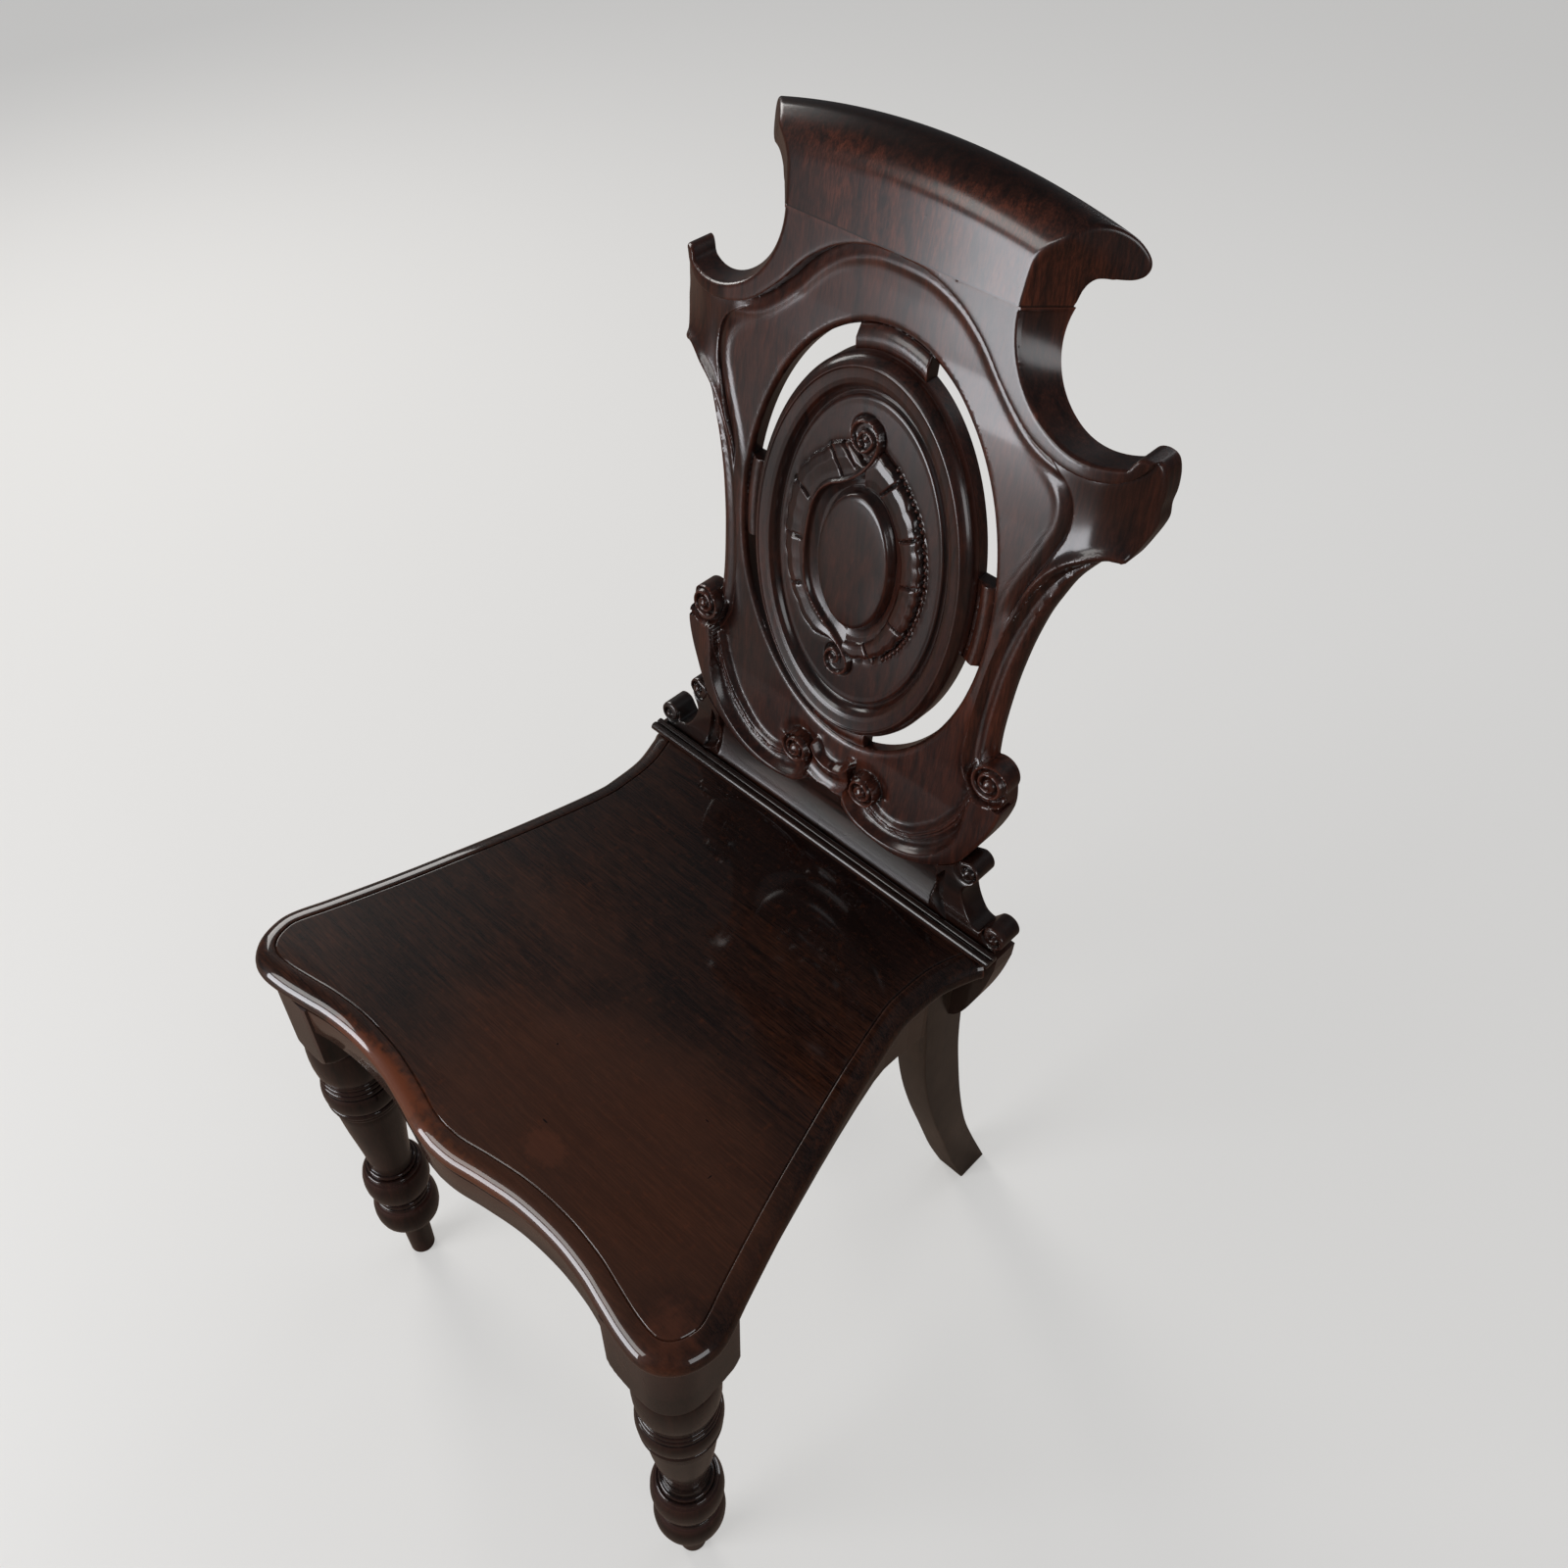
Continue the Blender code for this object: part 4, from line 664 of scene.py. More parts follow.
EAR_RIM = ((157.6, 364.9), (159.4, 368.6), (162, 371.2), (166.5, 371.0), (171, 367.5),
           (173.6, 360), (174.6, 350), (174.1, 341.7), (174.9, 334), (173.8, 328), (171.7, 321.4),
           (169.2, 314.5), (166.8, 309.2), (164.0, 306.0), (161.0, 305.9), (158.0, 307.2),
           (154.5, 304.6), (147, 294.5), (141.4, 285), (136.7, 273), (131.6, 258), (127, 238),
           (124.1, 220), (122, 202), (120.6, 179), (120.2, 160), (121.0, 144.7))
HIP_RIM = ((138.5, 129.8), (139.8, 123), (140.2, 117), (139.8, 111.5), (137.8, 102.6),
           (134.5, 92.3), (130.2, 81.7), (125.4, 71), (119, 58.1), (109.5, 48.8), (95.7, 38.6),
           (81, 31.4), (68.1, 27.4), (54.3, 27.2), (40.2, 28.5), (27, 32.3), (16, 40.7), (6, 42),
           (0, 42.4))
OGEE = ((0, 423.2), (21, 421.6), (41.7, 414.5), (57.7, 404), (68, 394.5), (78.4, 383), (94.7, 368.5),
        (106.6, 361), (120, 356.5), (132, 354.5), (141, 354), (151, 355.3), (158, 358), (163, 362),
        (166.5, 367))
FIELD_EDGE = ((110, 240), (112.5, 255), (116, 268), (120.5, 280), (125.5, 292), (129.7, 304),
              (132.4, 312), (133.3, 321), (132.2, 330), (129.5, 337), (124.5, 343.5),
              (115.8, 350), (107.5, 354.6), (100, 360))
ARRIS = ((112, 118.5), (106.4, 128), (102.4, 140), (101.8, 156.5), (101.9, 173), (103.6, 195),
         (106.3, 216), (110.6, 236), (115.8, 252.7), (122, 269.5), (130.3, 286), (139, 297),
         (149, 304.5), (158, 309.0), (164.5, 309.5))
RIDGE = ((118.1, 116.6), (116.9, 107.8), (115.9, 97.3), (115.5, 89.3), (113.6, 78.4),
         (108.9, 66), (100.9, 54.1), (89.6, 43.9), (77.4, 36.8), (64.5, 32.8), (52.3, 31.6),
         (41.1, 32.3), (30.9, 35.2), (23, 41.3), (18.6, 49.7), (18.2, 57))
BEAD_LINE = ((115.8, 113), (114.2, 101), (111.0, 88), (104.9, 75.3), (95.7, 62.8), (85.7, 52.4),
             (75, 45.1), (62.2, 40.6), (51.4, 39.9), (42.7, 42.4), (37, 45.5))
FIELD_LINE = ((114.7, 111.5), (112.6, 105.6), (109.7, 95.4), (104.6, 83.4), (96.8, 70.7),
              (87.1, 59.9), (75.5, 50.0), (63, 44.6), (52.2, 43.7), (44.3, 46.0), (39.2, 48.8))
BOW_LINE = ((0, 60), (4, 59.8), (12, 63.6), (17.5, 71.5))
FIELD_LEVELS = ((45, 9.5), (89, 11.0), (120, 10.5), (146, 9.6), (182, 7.9), (235, 7.6), (308, 8.6),
                (350, 8.8), (375, 10.0), (400, 9.4), (428, 8.0))
ARRIS_LEVELS = ((118, 5.8), (128, 5.6), (140, 6.5), (156, 7.4), (173, 7.8), (216, 7.8), (236, 8.4),
                (286, 8.0), (300, 6.0), (310, 4.5))


def setback(x, h):
    """How far the back's front lies behind the seat's rear edge, in millimetres."""
    reach = np.maximum(np.abs(x) - EAR_START, 0)
    ear = ease(h, *EAR_BEND) * reach ** 2 / (2 * EAR_RADIUS)
    return LEAN * h + BOW * h * h * MILLIMETRE + ear


def side_of(line, x, h):
    """Distance to a line, positive on the left of its direction, for arrays of places."""
    best = np.full(x.shape, 1e9)
    signed = np.zeros(x.shape)
    for (x0, h0), (x1, h1) in zip(line, line[1:]):
        run, rise = x1 - x0, h1 - h0
        share = np.clip(((x - x0) * run + (h - h0) * rise) / (run * run + rise * rise), 0, 1)
        off_x, off_h = x - x0 - share * run, h - h0 - share * rise
        away = off_x ** 2 + off_h ** 2
        nearer = away < best
        best = np.where(nearer, away, best)
        signed = np.where(nearer, np.sign(run * (h - h0) - rise * (x - x0)), signed)
    return signed * np.sqrt(best)


def ease(value, low, high):
    """Rises smoothly from 0 at low to 1 at high."""
    share = np.clip((value - low) / (high - low), 0, 1)
    return share * share * (3 - 2 * share)


def blend(first, second, share):
    return first + (second - first) * share


def table(levels, h):
    return np.interp(h, [row[0] for row in levels], [row[1] for row in levels])


def fade(gap, reach):
    """One up to a line, dying away beyond it."""
    return np.exp(-np.maximum(gap, 0) / reach)


def ripple(gap, reach):
    """One on a line, dying away to both sides."""
    return np.exp(-(gap / reach) ** 2)


def rounded(radius, gap):
    """How far a rounded edge falls away, at a distance inside it."""
    return radius - np.sqrt(np.maximum(radius ** 2 - np.maximum(radius - gap, 0) ** 2, 0))


def scroll_level(x, h, eye, first, turns, hand, level, deep):
    """A flat scroll: a sunk groove that winds in round a raised eye."""
    out_x, out_h = x - eye[0], h - eye[1]
    radius = np.hypot(out_x, out_h)
    angle = (hand * (np.arctan2(out_h, out_x) - math.radians(first))) % math.tau
    groove = np.full(x.shape, 1e9)
    for turn in range(turns + 1):
        share = (turn + angle / math.tau) / turns
        wind = eye[2] * (1 - SCROLL_WIND * share)
        groove = np.minimum(groove, np.where(share <= 1.02, np.abs(radius - wind), 1e9))
    dome = 0.9 * (radius / eye[2]) ** 2 - 1.1 * ripple(radius, SCROLL_EYE)
    return radius, level + dome + deep * ripple(groove, SCROLL_GROOVE)


def with_scroll(depth, scroll, radius, edge):
    """The carving with a scroll laid in it, out to the scroll's edge."""
    outer = edge + SCROLL_SPREAD
    return np.where(radius < outer, blend(scroll, depth, ease(radius, edge, outer)), depth)


def panel_depth(x, h):
    """Depth of the carving behind the board's face, in millimetres."""
    x = np.abs(x)
    field = table(FIELD_LEVELS, h)
    below = -side_of(ogee, x, h)
    inside = side_of(arris, x, h)
    beyond = -side_of(field_edge, x, h)
    border = side_of(ridge, x, h)
    past_bead = side_of(bead_line, x, h)
    past_line = side_of(field_line, x, h)
    rim_gap = np.abs(side_of(panel_rim, x, h))
    oval_ring = np.hypot(x / OVAL[1], (h - OVAL[0]) / OVAL[2])
    oval_gap = (oval_ring - 1) * (OVAL[1] + OVAL[2]) / 2

    depth = field + 1.6 * fade(below, 2.2) - 0.9 * ripple(below - 9, 2.6)
    roll = 2.2 * fade(-beyond, 2.6) - 0.9 * ripple(beyond + 7.5, 2.4)
    roll = roll * ease(h, *EAR_RISE) * (1 - ease(h, 332, 350))
    depth = depth + np.where((h > EAR_RISE[0]) & (x > 85), roll, 0)

    edge_level = table(ARRIS_LEVELS, h)
    lower = blend(depth, edge_level, fade(inside, 3.0))
    waist_zone = (inside > 0) & (h < EAR_RISE[1]) & (h > 112)
    depth = np.where(waist_zone, blend(lower, depth, ease(h, 236, EAR_RISE[1])), depth)

    flute_wide = np.maximum(below, 0) + np.maximum(inside, 0) + 0.01
    flute_at = np.clip(np.maximum(inside, 0) / flute_wide, 0, 1)
    ear_level = blend(7.6, 3.6, ease(x, 122, 150))
    flute = ear_level + 3.4 * np.sin(math.pi * flute_at ** 0.85) * ease(x, 118, 138)
    flute = flute - 1.8 * ripple(inside - 3.4, 2.2) + 1.5 * fade(inside, 0.7)
    flute = flute + 1.4 * fade(below, 1.6)
    flute = blend(depth, flute, ease(x, 106, 124))
    flute_zone = (beyond > 0) & (inside > 0) & (below > 0) & (h > EAR_RISE[0])
    depth = np.where(flute_zone, blend(depth, flute, ease(beyond, 0.0, 0.9)), depth)

    outward = np.maximum(-inside, 0)
    cove_at = outward / (outward + rim_gap + 0.01)
    cove = blend(edge_level, 12.5, cove_at) + 2.6 * np.sin(math.pi * np.clip(cove_at / 0.60, 0, 1))
    cove = cove + 2.4 * np.clip((cove_at - 0.60) / 0.40, 0, 1) ** 2
    cove_zone = (inside <= 0) & (h > 117) & (h < 311) & (below > 0)
    depth = np.where(cove_zone, cove, depth)

    band = 0.5 * fade(-below, 0.8)
    depth = np.where(below <= 0, band, blend(0.8, depth, ease(below, 0.0, 1.1)))

    in_hip = (h < HIP_TOP) & (x > 15)
    across = np.maximum(-border, 0)
    back_to_bead = np.maximum(past_bead, 0)
    channel_at = across / (across + back_to_bead + 0.01)
    channel_wide = across + back_to_bead
    drop = np.interp(channel_at, (0, 0.10, 0.25, 0.45, 0.65, 0.85, 1.0),
                     (0.6, 2.4, 5.4, 7.6, 8.1, 7.4, 6.0))
    channel = blend(1.6, drop, ease(channel_wide, 0.5, 7.0))
    depth = np.where(in_hip & (border <= 0) & (past_bead > 0), channel, depth)
    bead_wide = np.maximum(-past_bead, 0) + np.maximum(past_line, 0) + 0.01
    bead_at = np.maximum(-past_bead, 0) / bead_wide
    double_bead = 6.2 - 0.9 * np.abs(np.sin(2 * math.pi * bead_at)) * ease(bead_wide, 1.0, 3.0)
    depth = np.where(in_hip & (past_bead <= 0) & (past_line > 0), double_bead, depth)
    sunk = blend(6.4, depth, ease(-past_line, 0.2, 4.5))
    depth = np.where(in_hip & (past_line <= 0) & (x > 38), sunk, depth)
    flat = 0.5 * fade(border, 0.9) + 1.4 * ease(border, 3, 16)
    depth = np.where(in_hip & (border > 0), flat, depth)

    over_bow = side_of(bow_line, x, h)
    centre = x < BOW_HALF
    apron = 3.0 + 3.6 * np.sin(math.pi * np.clip(-over_bow / 17, 0, 1)) ** 0.8
    depth = np.where(centre & (h < BOW_TOP) & (over_bow <= 0), apron, depth)
    depth = np.where((x < 22) & (h >= BOW_TOP) & (h < HIP_TOP), field, depth)
    bowl = blend(3.0, field, ease(over_bow, 0, 5.0))
    depth = np.where(centre & (h < HIP_TOP) & (over_bow > 0), bowl, depth)

    radius, scroll = scroll_level(x, h, CENTRE_EYE, first=200, turns=2, hand=-1, level=1.2, deep=4.2)
    hollow = blend(11.5, depth, ease(radius, CENTRE_EYE[2] + 1.5, CENTRE_EYE[2] + 9))
    above = (h > 56 + (x - 31.5) * 0.2) & (radius < CENTRE_EYE[2] + 9) & (x > 17)
    depth = np.where(above, hollow, depth)
    depth = with_scroll(depth, scroll, radius, CENTRE_EYE[2])

    radius, scroll = scroll_level(x, h, SIDE_EYE, first=290, turns=2, hand=1, level=1.4, deep=4.2)
    lip_radius = SIDE_EYE[2] + 4.4
    lip = np.interp(radius, (12.5, 13.4, 15.2, 16.4, 17.4), (2.6, 7.0, 6.0, 1.4, 1.0))
    around = (radius < lip_radius) & (h < 140) & (x < 143)
    depth = np.where(around, blend(lip, depth, ease(h, 128, 140)), depth)
    depth = with_scroll(depth, scroll, radius, SIDE_EYE[2])

    depth = np.where(oval_gap > 0, depth + rounded(OVAL_LIP, oval_gap), depth)
    bridge = BRIDGE_DEPTH - 3.2 * np.sin(math.pi * np.clip(-oval_gap / SLOT_WIDTH, 0, 1)) ** 0.7
    depth = np.where(oval_gap <= 0.05, bridge, depth)

    eased = rounded(np.where((h > 117) & (h < 300), 2.5, 2.0), rim_gap)
    return np.minimum(depth + eased * (h < JOINT - 1.5), BOARD - 3)


def circle_line(x, h, radius, first, last, steps):
    """An arc round a middle, from one angle to another in degrees."""
    angles = np.radians(np.linspace(first, last, steps + 1))
    return np.column_stack([x + radius * np.cos(angles), h + radius * np.sin(angles)])


def evenly(line, spacing):
    """The same line with points about a given spacing apart."""
    lengths = np.concatenate([[0], np.cumsum(np.hypot(*np.diff(line, axis=0).T))])
    count = max(int(round(lengths[-1] / spacing)), 1)
    at = np.linspace(0, lengths[-1], count + 1)
    return np.column_stack([np.interp(at, lengths, line[:, 0]), np.interp(at, lengths, line[:, 1])])


def parallel(line, distance):
    return line + distance * left_of(line)


def within(ring, x, h):
    """Which places lie inside a closed ring."""
    inside = np.zeros(x.shape, bool)
    for (x0, h0), (x1, h1) in zip(ring, np.roll(ring, -1, axis=0)):
        if h0 != h1:
            inside ^= ((h0 > h) != (h1 > h)) & (x < (x1 - x0) * (h - h0) / (h1 - h0) + x0)
    return inside


def two_sided(line):
    """A line of the right half, and its mirror image on the left."""
    return [line, line * (-1, 1)]


def on_wood(rim, holes, places):
    """Which places lie inside the rim and in none of the holes."""
    keep = within(rim, places[:, 0], places[:, 1])
    for ring in holes:
        keep &= ~within(ring, places[:, 0], places[:, 1])
    return keep


def carved_face(rim, holes, creases, rows, loose):
    """A flat net of triangles inside a rim, with its edges laid along the creases."""
    places, edges = [], []
    for ring in [rim] + holes:
        first = len(places)
        places += list(ring)
        edges += [(first + i, first + (i + 1) % len(ring)) for i in range(len(ring))]
    for line in creases:
        first = len(places)
        places += list(line)
        edges += [(first + i, first + i + 1) for i in range(len(line) - 1)]
    cells = {tuple(np.round(p / NET_CELL).astype(int)) for p in places}
    extra = np.vstack(rows + [loose])
    for p in extra[on_wood(rim, holes, extra)]:
        cell = tuple(np.round(p / NET_CELL).astype(int))
        if cell not in cells:
            cells.add(cell)
            places.append(p)
    net = geometry.delaunay_2d_cdt([Vector(p) for p in places], edges, [], 0, 0.0001)
    corners = np.array([tuple(v) for v in net[0]])
    faces = np.array(net[2])
    return corners, faces[on_wood(rim, holes, corners[faces].mean(axis=1))]


def hex_places(low_x, high_x, low_h, high_h, spacing):
    """Places over a field, each row set half a step to the side of the last."""
    across = np.arange(low_x, high_x, spacing)
    up = np.arange(low_h, high_h, spacing * HEX_RISE)
    x, h = np.meshgrid(across, up)
    x = x + (np.arange(len(up)) % 2)[:, None] * spacing / 2
    return np.column_stack([x.ravel(), h.ravel()])


def bite_circle(depth):
    """Middle and radius of the bite's slanting wall, at a depth behind the board's face."""
    return (blend(front, rear, depth / BITE_REAR_DEPTH) for front, rear in zip(BITE_FRONT, BITE_REAR))


def in_bite(x, h, depth):
    """Moves a place on the bite's front edge in to where its slanting wall lies at a depth."""
    centre_x, centre_h, radius = bite_circle(depth)
    angle = math.degrees(math.atan2(h - BITE_FRONT[1], abs(x) - BITE_FRONT[0])) % 360
    top = 180 - math.degrees(math.asin((JOINT - centre_h) / radius))
    share = (BITE_ARC[1] - angle) / (BITE_ARC[1] - BITE_ARC[0])
    turn = math.radians(BITE_ARC[1] - share * (BITE_ARC[1] - top))
    return math.copysign(centre_x + radius * math.cos(turn), x), centre_h + radius * math.sin(turn)


def carved_board(net, depth_at, rear, rear_levels, rear_spread):
    """A board from a net: carved front, walls back to its rear, and a plain rear face."""
    corners, faces = net
    depths = depth_at(corners[:, 0], corners[:, 1])
    bm = bmesh.new()
    verts = [bm.verts.new((x, d, h)) for (x, h), d in zip(corners, depths)]
    for a, b, c in faces:
        bm.faces.new((verts[a], verts[b], verts[c]))
    for vert in [v for v in bm.verts if not v.link_faces]:
        bm.verts.remove(vert)
    edge = [e for e in bm.edges if e.is_boundary]
    front = {v: v.co.copy() for e in edge for v in e.verts}
    for share in WALL_SHARES:
        walls = bmesh.ops.extrude_edge_only(bm, edges=edge)["geom"]
        edge = [g for g in walls if isinstance(g, bmesh.types.BMEdge) and g.is_boundary]
        start = {}
        for vert in (g for g in walls if isinstance(g, bmesh.types.BMVert)):
            start[vert] = next(front[v] for e in vert.link_edges for v in e.verts if v in front)
        front = start
        for vert, (x, depth, h) in front.items():
            away = math.hypot(abs(x) - BITE_FRONT[0], h - BITE_FRONT[1])
            level = blend(depth, rear, share)
            if abs(away - BITE_FRONT[2]) < BITE_NEAR and h > BITE_LOWEST:
                end_x, end_h = in_bite(x, h, rear)
                x, h = blend(x, end_x, share), blend(h, end_h, share)
            vert.co = (x, level, h)
    bmesh.ops.triangle_fill(bm, edges=edge, use_beauty=True, normal=(0, 1, 0))
    planes = [((0, 0, h), (0, 0, 1)) for h in rear_levels]
    planes += [((side * x, 0, 0), (1, 0, 0)) for x in rear_spread for side in (-1, 1)]
    for place, normal in planes:
        flat = [f for f in bm.faces if all(abs(v.co.y - rear) < 0.001 for v in f.verts)]
        geom = dict.fromkeys(flat)
        for face in flat:
            geom.update(dict.fromkeys((*face.verts, *face.edges)))
        bmesh.ops.bisect_plane(bm, geom=list(geom), dist=0.01, plane_co=place, plane_no=normal)
    bmesh.ops.triangulate(bm, faces=[f for f in bm.faces if len(f.verts) > 4])
    bmesh.ops.recalc_face_normals(bm, faces=bm.faces)
    return bm


def bend(bm):
    """Bends a board to the back's lean, and puts it in place from the plan it is drawn on.

    The plan is in millimetres, across from the middle, behind the face and up from the seat.
    """
    for vert in bm.verts:
        x, y, h = vert.co
        y += float(setback(np.array(x), np.array(max(h, 0))))
        vert.co = (x * MILLIMETRE, y * MILLIMETRE + CENTRING, h * MILLIMETRE + SEAT_HEIGHT)


ogee = smooth_line(OGEE, 6)
field_edge, arris, ridge, bead_line, field_line, bow_line = (
    smooth_line(line, 5) for line in (FIELD_EDGE, ARRIS, RIDGE, BEAD_LINE, FIELD_LINE, BOW_LINE))
bite_edge = circle_line(*BITE_FRONT, *BITE_ARC, steps=80)
hip_rim = smooth_line(HIP_RIM, 5)
volute_rim = circle_line(*SIDE_EYE, first=112, last=-16, steps=24)
panel_half = np.vstack([bite_edge, smooth_line(EAR_RIM, 6), volute_rim, hip_rim])
panel_rim = np.vstack([[(0, JOINT), (80.5, JOINT)], panel_half])
half_rim = evenly(panel_half, RIM_STEP)
top_edge = evenly(np.array([(0.0, JOINT), half_rim[0]]), RIM_STEP)
right_half = np.vstack([top_edge[:-1], half_rim])
full_rim = np.vstack([right_half, (right_half * (-1, 1))[-2:0:-1]])


def slot_ring(side, upper):
    """One of the four curved slots between the oval opening and the medallion."""
    half_bridge = BRIDGE_HALVES[0] if upper else BRIDGE_HALVES[1]
    arcs = []
    for inset in (0, SLOT_WIDTH):
        wide, tall = OVAL[1] - inset, OVAL[2] - inset
        first, last = math.asin(half_bridge / wide), math.acos(BRIDGE_HALVES[2] / tall)
        turn = np.linspace(first, last, 110)
        up = 1 if upper else -1
        arcs.append(np.column_stack([side * wide * np.sin(turn), OVAL[0] + up * tall * np.cos(turn)]))
    return np.vstack([evenly(arcs[0], RIM_STEP), evenly(arcs[1][::-1], RIM_STEP)])


def oval_line(grow):
    """The slots' outer oval, grown by a distance."""
    turn = np.linspace(0, math.tau, 600, endpoint=False)
    return np.column_stack([(OVAL[1] + grow) * np.sin(turn), OVAL[0] + (OVAL[2] + grow) * np.cos(turn)])


slots = [slot_ring(side, upper) for side in (-1, 1) for upper in (True, False)]
creases, rows = [], []
for line in (ogee, field_edge, arris, ridge, bead_line, field_line, bow_line):
    spaced = evenly(line, CREASE_STEP)
    gaps = np.abs(side_of(panel_rim, spaced[:, 0], spaced[:, 1]))
    spaced = spaced[(gaps > 0.9) & within(panel_rim, spaced[:, 0] + 0.001, spaced[:, 1])]
    creases += two_sided(spaced)
    for distance in CREASE_ROWS:
        rows += two_sided(parallel(spaced, distance))
for distance in RIM_ROWS:
    rows += two_sided(parallel(half_rim, -distance))
    rows += two_sided(parallel(half_rim, distance))
rows += [oval_line(grow) for grow in OVAL_ROWS]
for eye in (SIDE_EYE, CENTRE_EYE):
    close = hex_places(eye[0] - 20, eye[0] + 20, eye[1] - 20, eye[1] + 20, spacing=0.85)
    close = close[np.hypot(close[:, 0] - eye[0], close[:, 1] - eye[1]) < eye[2] + 6]
    rows += two_sided(close)
net = carved_face(full_rim, slots, creases, rows, hex_places(-176, 176, 26, 425, spacing=2.3))
bm = carved_board(net, panel_depth, rear=BOARD, rear_levels=range(60, 424, 25),
                  rear_spread=range(120, 175, 7))
bend(bm)
panel = finish_mesh("shield_back", bm, crease=42)
back_finish = mahogany("back_mahogany", (0.018, 0.005, 0.003), (0.080, 0.020, 0.010),
                       grain=(90, 90, 8), streak=0.6, roughness=0.34, wear=0.25, seed=17.0,
                       coat=0.85, gloss=0.19)
panel.data.materials.append(back_finish)
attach(panel, "root")
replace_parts(panel, "back_panel")

# Crest rail. One thick piece of figured mahogany, coved in front and rolled over behind,
# arched along its top. Its ends are cut by the same scooped bites as the back board's ears
# and splayed above them. A tongue under it sits in a groove of the back board.
CREST_ARCH = 16
CREST_ARCH_HALF = 128
CREST_ARCH_START = 14
CREST_SPLAY = 91
CREST_SOFTNESS = 3.0
CREST_ROUND = 2.2
CREST_SEAT = 0.05
CREST_FOOT = (CREST_SEAT, 0.35, 0.7, 1.2, 2.2, 4.2)
CAP_SHARES = (0.97, 0.92, 0.82, 0.65, 0.42, 0.2, 0)
CREST_HEART = (15, 16)
ROLL_START = 14
ROLL_HEART = 26
ARCH_FOOT = 4.3
CREST_ROLL = ((0, 11), (0.1, 15), (0.4, 18.4), (1.1, 21.8), (2.2, 25.0), (3.7, 28.2), (5.5, 31.3),
              (7.6, 34.0), (10.2, 36.3), (13.4, 37.9), (17.2, 38.6), (21.6, 38.4), (26.0, 36.8),
              (30.0, 34.3), (33.4, 30.8), (35.8, 27.0), (36.8, 23.2), (36.4, 20.0), (34.8, 17.2),
              (31.8, 15.2), (28.0, 14.3), (24.0, 13.8), (21.4, 12.4), (20.3, 9.6), (20.0, 6.0))
crest_line = np.vstack([[(0, CREST_SEAT)] * len(CREST_FOOT), [(0, 9)], smooth_line(CREST_ROLL, 4),
                        [(20, 3), (20, CREST_SEAT), (10, CREST_SEAT), (0, CREST_SEAT)]])
END_GAPS = np.array((0.0, 0.15, 0.5, 1.0, 1.6, 2.3)) / 100
crest_stations = np.concatenate([END_GAPS - 1, np.linspace(-0.968, 0.968, 110), 1 - END_GAPS[::-1]])


def crest_half(depth, up):
    """Half length of the crest: cut by the bite's slanting wall below, splayed above."""
    splay = CREST_SPLAY + depth
    centre_x, centre_h, radius = bite_circle(depth)
    rise = np.minimum(np.abs(JOINT + up - centre_h), radius)
    bite = centre_x - np.sqrt(radius ** 2 - rise ** 2)
    share = np.clip(0.5 + (splay - bite) / (2 * CREST_SOFTNESS), 0, 1)
    return blend(splay, bite, share) - CREST_SOFTNESS * share * (1 - share)


def crest_place(column, row):
    """The roll's section, swept from end to end, with rounded ends closed towards its heart."""
    caps = len(CAP_SHARES)
    last = len(crest_stations) - 1
    station = crest_stations[np.clip(column - caps, 0, last)]
    cap = np.maximum(np.maximum(caps - column, column - caps - last), 0)
    depth, up = crest_line[row].T
    shrink = rounded(CREST_ROUND, crest_half(depth, up) * (1 - np.abs(station)))
    away = np.column_stack([depth - CREST_HEART[0], np.where(up > ROLL_START, up - ROLL_HEART, 0)])
    size = np.maximum(np.hypot(*away.T), 0.01)
    depth, up = (np.column_stack([depth, up]) - away * (shrink / size)[:, None]).T
    share = np.array((1,) + CAP_SHARES)[cap]
    depth = blend(CREST_HEART[0], depth, share)
    up = blend(CREST_HEART[1], up, share)
    x = station * crest_half(depth, up)
    foot = np.array(CREST_FOOT)[np.minimum(row, len(CREST_FOOT) - 1)]
    up = np.where((row < len(CREST_FOOT)) & (cap == 0), foot, up)
    lift = CREST_ARCH * (1 - (x / CREST_ARCH_HALF) ** 2) * np.clip(up / CREST_ARCH_START, 0, 1)
    return x, depth, JOINT + up + lift * (up > ARCH_FOOT)


crest_columns = len(crest_stations) + 2 * len(CAP_SHARES)
bm = grid_sheet(crest_columns - 1, len(crest_line) - 1, crest_place, weld=0.01)
bmesh.ops.recalc_face_normals(bm, faces=bm.faces)
bend(bm)
crest = finish_mesh("scrolled_crest", bm, crease=40)
crest_finish = mahogany("figured_crest_mahogany", (0.022, 0.006, 0.0035), (0.115, 0.027, 0.012),
                        grain=(110, 110, 12), streak=0.75, roughness=0.34, wear=0.3,
                        seed=19.0, coat=0.9, gloss=0.17)
# Painted shade: a near-black band along the crest's rolled top edge. The thin dark line below it is the
# joint with the back board.
wear_and_light_patch(crest_finish, (0.0, 0.200, 0.930), (0.4, 0.25, 0.024), (0.005, 0.002, 0.0015),
           amount=0.85, rag=0.4)
wear_and_light_patch(crest_finish, (0.0, 0.170, 0.869), (0.5, 0.4, 0.0014), (0.006, 0.002, 0.001),
           amount=0.8, rag=0.1)
crest.data.materials.append(crest_finish)
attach(crest, "root")
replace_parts(crest, "crest_rail")

